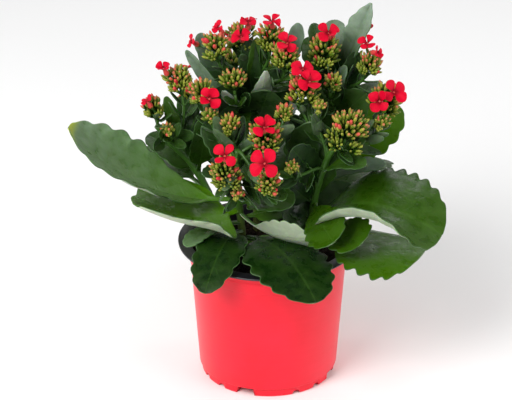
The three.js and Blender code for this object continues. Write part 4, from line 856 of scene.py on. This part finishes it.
# ---- stems -------------------------------------------------------------------------------------
def smooth_curve(points, samples=160):
    """Points evenly spread along a centripetal spline through the given ones."""
    ends = [2 * points[0] - points[1]] + points + [2 * points[-1] - points[-2]]
    fine = []
    spans = len(points) - 1
    for i in range(spans):
        p0, p1, p2, p3 = ends[i:i + 4]
        d0, d1, d2 = (max((b - a).length ** 0.5, 1e-4) for a, b in ((p0, p1), (p1, p2), (p2, p3)))
        t1 = ((p1 - p0) / d0 - (p2 - p0) / (d0 + d1) + (p2 - p1) / d1) * d1
        t2 = ((p2 - p1) / d1 - (p3 - p1) / (d1 + d2) + (p3 - p2) / d2) * d1
        for step in range(samples):
            t = step / samples
            bend = 3 * (p2 - p1) - 2 * t1 - t2
            ease = 2 * (p1 - p2) + t1 + t2
            fine.append(p1 + t1 * t + bend * t ** 2 + ease * t ** 3)
    return fine + [points[-1]]


class Stem:
    """A shoot's middle line, with its place and direction at any share of its length."""

    def __init__(self, shoot):
        x, y = shoot["root"]
        straight = [SOIL_LEVEL - ROOT_DEPTH, SOIL_LEVEL - ROOT_DEPTH / 2, SOIL_LEVEL + 3]
        self.line = smooth_curve([Vector((x, y, z)) for z in straight] + [Vector(p) for p in shoot["path"]])
        self.runs = [0.0]
        for near, far in zip(self.line, self.line[1:]):
            self.runs.append(self.runs[-1] + (far - near).length)

    def at(self, share):
        """The place at a share of the way up."""
        wanted = share * self.runs[-1]
        i = next((k for k in range(len(self.runs) - 1) if self.runs[k + 1] >= wanted), len(self.runs) - 2)
        part = (wanted - self.runs[i]) / (self.runs[i + 1] - self.runs[i])
        return self.line[i].lerp(self.line[i + 1], part)

    def heading(self, share):
        """The direction of growth there."""
        return (self.at(min(share + 0.005, 1)) - self.at(share - 0.005)).normalized()


def head_axis(head):
    """The way a head leans: out from the middle of the plant, and up."""
    out = (Vector(head["at"]) - PLANT_MIDDLE).normalized() + Vector((0, 0, HEAD_RISE))
    return out.normalized()


def head_heart(head):
    """The place inside a head that its branches spread from."""
    return Vector(head["at"]) - HEART_DEPTH * head["radius"] * head_axis(head)


def head_foot(head):
    """The place under a head where its flower stalk ends."""
    return Vector(head["at"]) - FOOT_DEPTH * head["radius"] * head_axis(head)


def stalk_line(head, stem):
    """A flower stalk: it leaves its stem along it and comes up under its head."""
    start, end = stem.at(head["on"]), head_foot(head)
    pull = STALK_PULL * (end - start).length
    bends = [start, start + pull * stem.heading(head["on"]), end - pull * head_axis(head), end]
    line = []
    for i in range(STALK_STEPS + 1):
        t = i / STALK_STEPS
        weights = ((1 - t) ** 3, 3 * t * (1 - t) ** 2, 3 * t * t * (1 - t), t ** 3)
        line.append(sum((w * p for w, p in zip(weights, bends)), Vector()))
    return line


def make_stems(shoot, stem):
    """A shoot's stem, a little swollen at each leaf's root, and its flower stalks."""
    bm = bmesh.new()
    radii = []
    for i in range(STEM_STEPS + 1):
        share = i / STEM_STEPS
        knot = sum(math.exp(-((share - leaf["on"]) / KNOT_SPREAD) ** 2) for leaf in shoot["leaves"])
        radii.append(STEM_RADIUS * (1.04 - 0.22 * share) + KNOT_SWELL * min(knot, 1))
    sweep(bm, [stem.at(i / STEM_STEPS) for i in range(STEM_STEPS + 1)], radii, STEM_SIDES)
    stalk_radii = [STALK_RADIUS * (1.3 - 0.3 * i / STALK_STEPS) for i in range(STALK_STEPS + 1)]
    for head in HEADS:
        if head["shoot"] == shoot["name"]:
            sweep(bm, stalk_line(head, stem), stalk_radii, STALK_SIDES)
    bmesh.ops.recalc_face_normals(bm, faces=bm.faces)
    finish_piece(bm, shoot["name"] + "_stems", [STEM], [shoot["name"]])


# ---- leaves ------------------------------------------------------------------------------------
def half_width(leaf, q):
    """A blade's half width along its length, q from 0 to 1, as a share of its widest."""
    oval = math.sqrt(max(1 - abs(2 * q ** leaf["broad"] - 1) ** 2.3, 0))
    return oval * (1 - leaf["point"] * q * q)


def blade_places(verts, rows, stalk):
    """Each vertex's u along the leaf, q along its blade, v across it, and its row's share of the blade."""
    places = {}
    for vert in verts:
        row = (vert.co.x + 1) / 2 * rows
        share = max((row - LEAF_STALK_ROWS) / (rows - LEAF_STALK_ROWS), 0)
        q = 1 - (1 - share) ** 1.3
        u = stalk * row / LEAF_STALK_ROWS if row < LEAF_STALK_ROWS else stalk + (1 - stalk) * q
        places[vert] = (u, q, vert.co.y, share)
    return places


def add_leaf(bm, given, base, seed, grid):
    """Lays a grid along one leaf: its formula is that of the solid, with rounder teeth and a soft relief."""
    leaf = {**LEAF, **given}
    chance = random.Random(seed)
    chord = Vector(leaf["tip"]) - base
    along = chord.normalized()
    face = Vector(leaf["faces"])
    face = (face - face.dot(along) * along).normalized()
    side = face.cross(along)
    length = chord.length
    stalk = leaf["stalk"]
    scallops = max(round(SCALLOP_RATE * leaf["teeth"]), FEWEST_SCALLOPS)
    sway = chance.uniform(0, 6)
    uv = bm.loops.layers.uv.verify()
    look = bm.verts.layers.float_color["leaf_look"]
    weights = bm.verts.layers.deform.verify()
    rows, columns = grid
    verts = bmesh.ops.create_grid(bm, x_segments=rows, y_segments=columns, size=1)["verts"]
    places = blade_places(verts, rows, stalk)
    for cell in {f for vert in verts for f in vert.link_faces}:
        for loop in cell.loops:
            _, q, v, _ = places[loop.vert]
            loop[uv].uv = (q * (1 - stalk) * length / 10, (v + 1) / 2)
    for vert in verts:
        u, q, v, share = places[vert]
        far = abs(v)
        # the outline, with its scallops
        depth = TOOTH_DEPTH * (leaf["left_teeth"] if v > 0 else leaf["right_teeth"])
        ramp = blend_step(0.08, 0.3, q) * blend_step(0.55, 1, far)
        tooth = 1 + depth * ramp * (2 * abs(math.cos(math.pi * scallops * share)) - 1)
        half = leaf["width"] / 2 * half_width(leaf, q) * tooth + STALK_SWELL * leaf["bulk"] * (1 - 0.6 * q)
        # the bow along it and the roll of each half
        slope = leaf["arch"] * 4 * (1 - 2 * u) / length
        twist = Quaternion(along, math.radians(leaf["twist"]) * (u - 0.5))
        up = twist @ (face - slope * along).normalized()
        across = twist @ side
        full_roll = math.radians((leaf["left"] if v > 0 else leaf["right"]) or 1)
        roll = full_roll * (0.25 + 0.75 * math.sin(math.pi * q))
        bend = roll * far
        outward = up * math.cos(bend) - across * math.copysign(math.sin(bend), v)
        # the wavering margin, the sunk midrib and the swell between side veins
        wave = (MARGIN_WAVE * leaf["width"] * far ** 2 * math.sin(9 * q + sway + (2 if v > 0 else 0))
                * (1 - 0.4 * q))
        rib = -leaf["crease"] * (1 - far) ** 3 * (1 - 0.6 * q) * min(1, u / stalk)
        beat = q * (1 - stalk) * length / VEIN_SPACING - VEIN_LEAN * far
        puff = PUFF * math.sin(2 * math.pi * beat + sway) * far * (1 - far)
        vert.co = (base + u * chord + leaf["arch"] * 4 * u * (1 - u) * face
                   + across * math.copysign(half * math.sin(bend) / roll, v)
                   + up * (half * (1 - math.cos(bend)) / roll) + outward * (wave + rib + puff))
        worn = leaf.get("worn_tip", 0) * blend_step(0.93, 0.99, q)
        # the tone is partly painted light and shade, and `frost_and_sheen` is a waxy bloom with a painted
        # sheen
        tone = leaf["tone"] + (leaf.get("tip_tone", leaf["tone"]) - leaf["tone"]) * q
        vert[look] = (tone, leaf["frost_and_sheen"] * (0.1 + 0.9 * q), worn, leaf["pale"])
        thick = leaf["bulk"] * (1 + 0.9 * (1 - min(u / stalk, 1))) * (1 - 0.25 * q) * (1 - 0.25 * far * far)
        vert[weights][0] = thick / LEAF_FULL


def make_bracts(bm, shoot, stem):
    """The small dark leaves in pairs along the flower stalks, where the heads branch."""
    for head in HEADS:
        if head["shoot"] != shoot["name"]:
            continue
        chance = random.Random("bracts " + head["name"])
        line = stalk_line(head, stem)
        for place, length in BRACT_PAIRS:
            middle = line[place]
            axis = (line[place + 1] - line[place - 1]).normalized()
            across = axis.orthogonal().normalized()
            turn = chance.uniform(0, math.pi)
            for half in (0, math.pi):
                out = Quaternion(axis, turn + half) @ across
                reach = length * chance.uniform(0.8, 1.2)
                tip = middle + reach * (0.62 * out + 0.78 * axis)
                # a bract's low tone and dark underside are painted shade among the flower stalks
                bract = dict(tip=tip, faces=axis - 0.6 * out, width=0.38 * reach, arch=-0.05 * reach, teeth=2,
                             bulk=0.9, stalk=0.15, point=0.3, tone=chance.uniform(0.05, 0.35), pale=0.1)
                add_leaf(bm, bract, middle + 0.6 * out, place + round(10 * reach), BRACT_GRID)


def make_leaves(shoot, stem):
    """All leaves of a shoot: sheets that two modifiers make fleshy and round at the margin."""
    bm = bmesh.new()
    bm.verts.layers.float_color.new("leaf_look")
    small = [leaf for leaf in SMALL_LEAVES if leaf["shoot"] == shoot["name"]]
    for i, leaf in enumerate(shoot["leaves"] + small):
        middle = stem.at(leaf["on"])
        base = middle + LEAF_ROOT * (Vector(leaf["tip"]) - middle).normalized()
        grid = FINE_GRID if leaf.get("width", LEAF["width"]) > BROAD_LEAF else PLAIN_GRID
        add_leaf(bm, leaf, base, 31 * i + len(shoot["name"]), grid)
    make_bracts(bm, shoot, stem)
    piece = finish_piece(bm, shoot["name"] + "_leaves", [LEAF_TOP, LEAF_UNDER, LEAF_MARGIN],
                         [shoot["name"]])
    piece.vertex_groups.new(name="thickness")
    wall = piece.modifiers.new("fleshy thickness", "SOLIDIFY")
    wall.thickness = LEAF_FULL * MM
    wall.offset = 0
    wall.vertex_group = "thickness"
    wall.material_offset = 1
    wall.material_offset_rim = 2
    soft = piece.modifiers.new("round margin", "SUBSURF")
    soft.levels = soft.render_levels = 1


# ---- heads of buds -----------------------------------------------------------------------------
def bud_shape():
    """One bud on its stalk: z runs from -1 at the stalk's root to 0 at the calyx and 1 at the point."""
    bm = bmesh.new()
    draw_outline(bm, [(0.36, -1), (0.3, -0.04), (0.82, 0.06), (0.86, 0.3), (1.0, 0.55), (0.74, 0.8), (0, 1)])
    spin_round(bm, BUD_SIDES, 0.001)
    rim = [edge for edge in bm.edges if edge.is_boundary]
    bmesh.ops.holes_fill(bm, edges=rim)
    bmesh.ops.recalc_face_normals(bm, faces=bm.faces)
    mesh = bpy.data.meshes.new("bud shape")
    bm.to_mesh(mesh)
    bm.free()
    return mesh


def stamp_bud(bm, shape, root, tip, size, ripe, chance):
    """Copies the bud shape in, with its stalk's root and its point at the given places."""
    look = bm.verts.layers.float_color["bud_look"]
    first = len(bm.verts)
    bm.from_mesh(shape)
    bm.verts.ensure_lookup_table()
    reach = (tip - root).length
    body = min(BUD_LENGTH * size, reach * 0.8)
    turn = aim(tip - root) @ Matrix.Rotation(chance.uniform(0, 3), 4, "Z")
    lot = chance.random()
    for vert in bm.verts[first:]:
        z = vert.co.z
        vert[look] = (max(z, 0), ripe, lot, 1)
        flat = vert.co.xy * BUD_RADIUS * size
        height = reach - body + body * z if z > 0 else (reach - body) * (1 + z)
        vert.co = root + (turn @ Vector((flat.x, flat.y, height)))


def meets_bloom(bloom, root, tip):
    """Whether a bud's upper part would touch a bloom's petals or its tube."""
    away = Vector(bloom["faces"]).normalized()
    for below in (0, 3, 6):
        place = tip.lerp(root, below / (tip - root).length) - Vector(bloom["at"])
        height = place.dot(away)
        aside = (place - height * away).length
        by_petals = abs(height) < 2.6 and aside < bloom["size"] / 2 + 0.6
        by_tube = -TUBE_LENGTH - 1 < height < 0 and aside < 3.2
        if by_petals or by_tube:
            return True
    return False


def side_groups(head):
    """The small side umbels under a head's dome: where each leaves the stalk, its middle and its lean."""
    axis, radius = head_axis(head), head["radius"]
    across = (Vector((1, 0, 0)) - axis.x * axis).normalized()
    third = axis.cross(across)
    chance = random.Random("side " + head["name"])
    count = head.get("sides", 5 if radius > LARGE_HEAD else 3)
    groups = []
    for k in range(count):
        turn = 2 * math.pi * (k + 0.5 * chance.random()) / count
        outward = math.cos(turn) * across + math.sin(turn) * third
        start = Vector(head["at"]) - radius * chance.uniform(1.25, 1.5) * axis
        hang = radius * chance.uniform(0.4, 0.85)
        middle = Vector(head["at"]) + SIDE_REACH * radius * outward - hang * axis
        groups.append((start, middle, (axis + 0.7 * outward).normalized()))
    return groups


def make_umbel(bm, shape, root, middle, axis, radius, amount, young, blooms, chance):
    """Buds on stalks that rise from one place and reach a dome about a middle."""
    across = (Vector((1, 0, 0)) - axis.x * axis).normalized()
    third = axis.cross(across)
    for k in range(amount):
        polar = math.acos(1 - DOME_SPAN * (k + 0.5) / amount)
        turn = k * GOLDEN_TURN + 0.5 * chance.random()
        reach = radius * chance.uniform(0.8, 1.06)
        tip = (middle + DOME_HEIGHT * reach * math.cos(polar) * axis
               + reach * math.sin(polar) * (math.cos(turn) * across + math.sin(turn) * third))
        if any(meets_bloom(bloom, root, tip) for bloom in blooms):
            continue
        # the buds next to an open bloom are the ripest
        near = min([1.0] + [(tip - Vector(bloom["at"])).length / 12 for bloom in blooms])
        ripe = min(1.0, max(0.0, chance.gauss(0.16, 0.12) + 0.7 * (1 - near) - young))
        size = chance.uniform(0.8, 1.1) * (1 - 0.35 * young)
        if chance.random() < RIPE_SHARE * (1 - young):
            ripe, size = chance.uniform(0.55, 0.9), 1.2
        stamp_bud(bm, shape, root.lerp(tip, 0.06), tip, size, ripe, chance)


def make_head(head, shape):
    """A compound umbel: a dome of buds, a layer of younger ones inside it, and side umbels below it."""
    bm = bmesh.new()
    bm.verts.layers.float_color.new("bud_look")
    chance = random.Random(head["name"])
    axis, heart, radius = head_axis(head), head_heart(head), head["radius"]
    middle = Vector(head["at"])
    root = heart - 0.35 * radius * axis
    blooms = [bloom for bloom in BLOOMS if bloom["head"] == head["name"]]
    count = round(BUD_DENSITY * radius * radius) + FEWEST_BUDS
    make_umbel(bm, shape, root, middle, axis, radius, count, 0.0, blooms, chance)
    make_umbel(bm, shape, root, middle, axis, INNER_DOME * radius, count // 2, 0.6, blooms, chance)
    side_count = 7 + round(0.4 * radius)
    for _, place, lean in side_groups(head):
        side_root = place - 0.5 * radius * lean
        make_umbel(bm, shape, side_root, place, lean, SIDE_DOME * radius, side_count, 0.5, blooms, chance)
    finish_piece(bm, head["name"] + "_buds", [BUD], [head["name"]])


def make_head_stalks(head):
    """The head's own branches: one up to its heart, and one to the foot of each open bloom."""
    bm = bmesh.new()
    foot, heart = head_foot(head), head_heart(head)
    sweep(bm, [foot.lerp(heart, i / 4) for i in range(5)], [STALK_RADIUS] * 5, STALK_SIDES)
    for start, middle, lean in side_groups(head):
        end = middle - 0.48 * head["radius"] * lean
        bends = [start, start.lerp(end, 0.5) + 0.1 * (end - start).length * head_axis(head), end]
        sweep(bm, bends, SIDE_STALK_RADII, FINE_STALK_SIDES)
    for bloom in BLOOMS:
        if bloom["head"] == head["name"]:
            away = Vector(bloom["faces"]).normalized()
            end = Vector(bloom["at"]) - (TUBE_LENGTH - 0.4) * away
            bends = [heart, heart.lerp(end - 3 * away, 0.6), end - 2 * away, end]
            sweep(bm, bends, BLOOM_STALK_RADII, FINE_STALK_SIDES)
    bmesh.ops.recalc_face_normals(bm, faces=bm.faces)
    finish_piece(bm, head["name"] + "_stalks", [STEM], [head["name"]])


# ---- blooms ------------------------------------------------------------------------------------
def add_petal(bm, bloom, place, number, chance):
    """One petal: a curved, blunt sheet that reaches out along +X, leaned, turned and put in its place."""
    uv = bm.loops.layers.uv.verify()
    angle = 45 + 90 * number + bloom.get("turn", 0) + chance.uniform(-11, 11)
    droop = chance.uniform(-0.1, 0.45)
    fold = chance.uniform(-0.3, 0.9)
    broad = chance.uniform(0.31, 0.45)
    reach = bloom["size"] / 2 * chance.uniform(0.92, 1.08)
    rows, columns = PETAL_GRID
    verts = bmesh.ops.create_grid(bm, x_segments=rows, y_segments=columns, size=1)["verts"]
    for vert in verts:
        p, w = math.sin(math.pi * (vert.co.x + 1) / 4), vert.co.y
        for loop in vert.link_loops:
            loop[uv].uv = (p, (w + 1) / 2)
        spread = 0.12 + broad * blend_step(0, 0.7, p)
        half = reach * spread * math.sqrt(max(1 - (max(p - 0.6, 0) / 0.4) ** 2, 0.0))
        far = reach * (0.03 + 0.97 * p)
        lift = -0.9 * (1 - p) ** 2 - droop * reach * p ** 3 + fold * half * w * w
        crease = -0.3 * math.exp(-(w / 0.15) ** 2) * (1 - p)
        vert.co = Vector((far, w * half, lift + crease - 0.1 * number))
    turn = Matrix.Rotation(math.radians(angle), 4, "Z")
    rise = Matrix.Rotation(chance.uniform(-0.75, 0.12), 4, "Y")
    tilt = Matrix.Rotation(chance.uniform(-0.45, 0.45), 4, "X")
    bmesh.ops.transform(bm, matrix=place @ turn @ (rise @ tilt), verts=verts)


def make_petals(bloom, place):
    """Four petals round the mouth of the tube, each with its own turn, droop and fold."""
    bm = bmesh.new()
    chance = random.Random(bloom["name"])
    for number in range(4):
        add_petal(bm, bloom, place, number, chance)
    piece = finish_piece(bm, bloom["name"] + "_petals", [PETAL], [bloom["name"]])
    wall = piece.modifiers.new("petal thickness", "SOLIDIFY")
    wall.thickness = PETAL_THICKNESS * MM
    wall.offset = 0
    soft = piece.modifiers.new("soft edge", "SUBSURF")
    soft.levels = soft.render_levels = 1


def make_tube(bloom, place):
    """The swollen tube under the petals, green at its foot and red at its mouth."""
    bm = bmesh.new()
    look = bm.verts.layers.float_color.new("bud_look")
    draw_outline(bm, [(0, -TUBE_LENGTH), (1.5, -TUBE_LENGTH + 0.2), (1.9, -TUBE_LENGTH + 1.6), (1.6, -4),
                      (1.15, -2), (0.9, -1.1), (0.4, -1.0), (0, -1.2)])
    spin_round(bm, TUBE_SIDES, 0.001)
    bmesh.ops.recalc_face_normals(bm, faces=bm.faces)
    for vert in bm.verts:
        vert[look] = (1.2 + vert.co.z / TUBE_LENGTH, 0.8, 0.6, 1)
    bmesh.ops.transform(bm, matrix=place, verts=bm.verts)
    finish_piece(bm, bloom["name"] + "_tube", [BUD], [bloom["name"]])


def make_bloom(bloom):
    """An open bloom at its place: petals and tube."""
    place = aim(bloom["faces"])
    place.translation = Vector(bloom["at"])
    make_petals(bloom, place)
    make_tube(bloom, place)


# ---- the plant ---------------------------------------------------------------------------------
make_pot()
make_soil()
for shoot in SHOOTS:
    stem = Stem(shoot)
    make_stems(shoot, stem)
    make_leaves(shoot, stem)
bud = bud_shape()
for head in HEADS:
    make_head(head, bud)
    make_head_stalks(head)
for bloom in BLOOMS:
    make_bloom(bloom)
bpy.data.meshes.remove(bud)


# ---- floor, light and camera, in metres and watts ------------------------------------------------
FLOOR_HALF = 3.0
WORLD_STRENGTH = 0.3
# name, place, target, size and power
LIGHTS = (
    ("key softbox", (-0.7, -0.9, 1.1), (0, 0, 0.14), (0.8, 0.8), 22),
    ("fill softbox", (1.0, -0.6, 0.7), (0, 0, 0.14), (0.8, 0.8), 6),
    ("back softbox", (0.1, 1.0, 0.9), (0, 0, 0.16), (1.0, 0.6), 4),
    ("left strip", (-0.8, 0.3, 0.3), (0, 0, 0.1), (0.25, 0.6), 1.5),
    ("right strip", (0.8, 0.3, 0.3), (0, 0, 0.1), (0.25, 0.6), 1.5),
)
# The photograph looks along +Y from 26.1 degrees above level, from 1.6 m away, and is 512 x 400 pixels.
PHOTO_WIDTH = 512
FOCAL_PIXELS = 2424
SENSOR_WIDTH = 36                 # millimetres
VIEW_DISTANCE = 1.6
VIEW_RISE = math.radians(26.1)
VIEW_TARGET = Vector((-8.2, 0, 124)) * MM


def make_floor():
    """White paper under the pot."""
    bm = bmesh.new()
    bmesh.ops.create_grid(bm, x_segments=1, y_segments=1, size=FLOOR_HALF)
    mesh = bpy.data.meshes.new("floor")
    bm.to_mesh(mesh)
    bm.free()
    material, _, shader = start_material("matt white paper floor", 0.9)
    shader.inputs["Base Color"].default_value = linear(PAPER_WHITE)
    mesh.materials.append(material)
    floor = bpy.data.objects.new("floor", mesh)
    bpy.context.scene.collection.objects.link(floor)


def add_light(name, place, target, size, power):
    """A soft rectangular light, turned towards a target."""
    lamp = bpy.data.lights.new(name, "AREA")
    lamp.shape = "RECTANGLE"
    lamp.size, lamp.size_y = size
    lamp.energy = power
    light = bpy.data.objects.new(name, lamp)
    light.location = place
    light.rotation_euler = (Vector(target) - Vector(place)).to_track_quat("-Z", "Y").to_euler()
    bpy.context.scene.collection.objects.link(light)


def set_world():
    """An even white surround, and colours that aren't toned down."""
    world = bpy.data.worlds.new("studio")
    world.use_nodes = True
    background = world.node_tree.nodes["Background"]
    background.inputs["Color"].default_value = (1, 1, 1, 1)
    background.inputs["Strength"].default_value = WORLD_STRENGTH
    bpy.context.scene.world = world
    bpy.context.scene.view_settings.view_transform = "Standard"


def add_camera():
    """The photograph's camera."""
    camera_data = bpy.data.cameras.new("camera")
    camera_data.sensor_width = SENSOR_WIDTH
    camera_data.lens = SENSOR_WIDTH * FOCAL_PIXELS / PHOTO_WIDTH
    camera = bpy.data.objects.new("camera", camera_data)
    back = Vector((0, -math.cos(VIEW_RISE), math.sin(VIEW_RISE)))
    camera.location = VIEW_TARGET + VIEW_DISTANCE * back
    camera.rotation_euler = (math.pi / 2 - VIEW_RISE, 0, 0)
    bpy.context.scene.collection.objects.link(camera)
    bpy.context.scene.camera = camera


make_floor()
set_world()
for light in LIGHTS:
    add_light(*light)
add_camera()
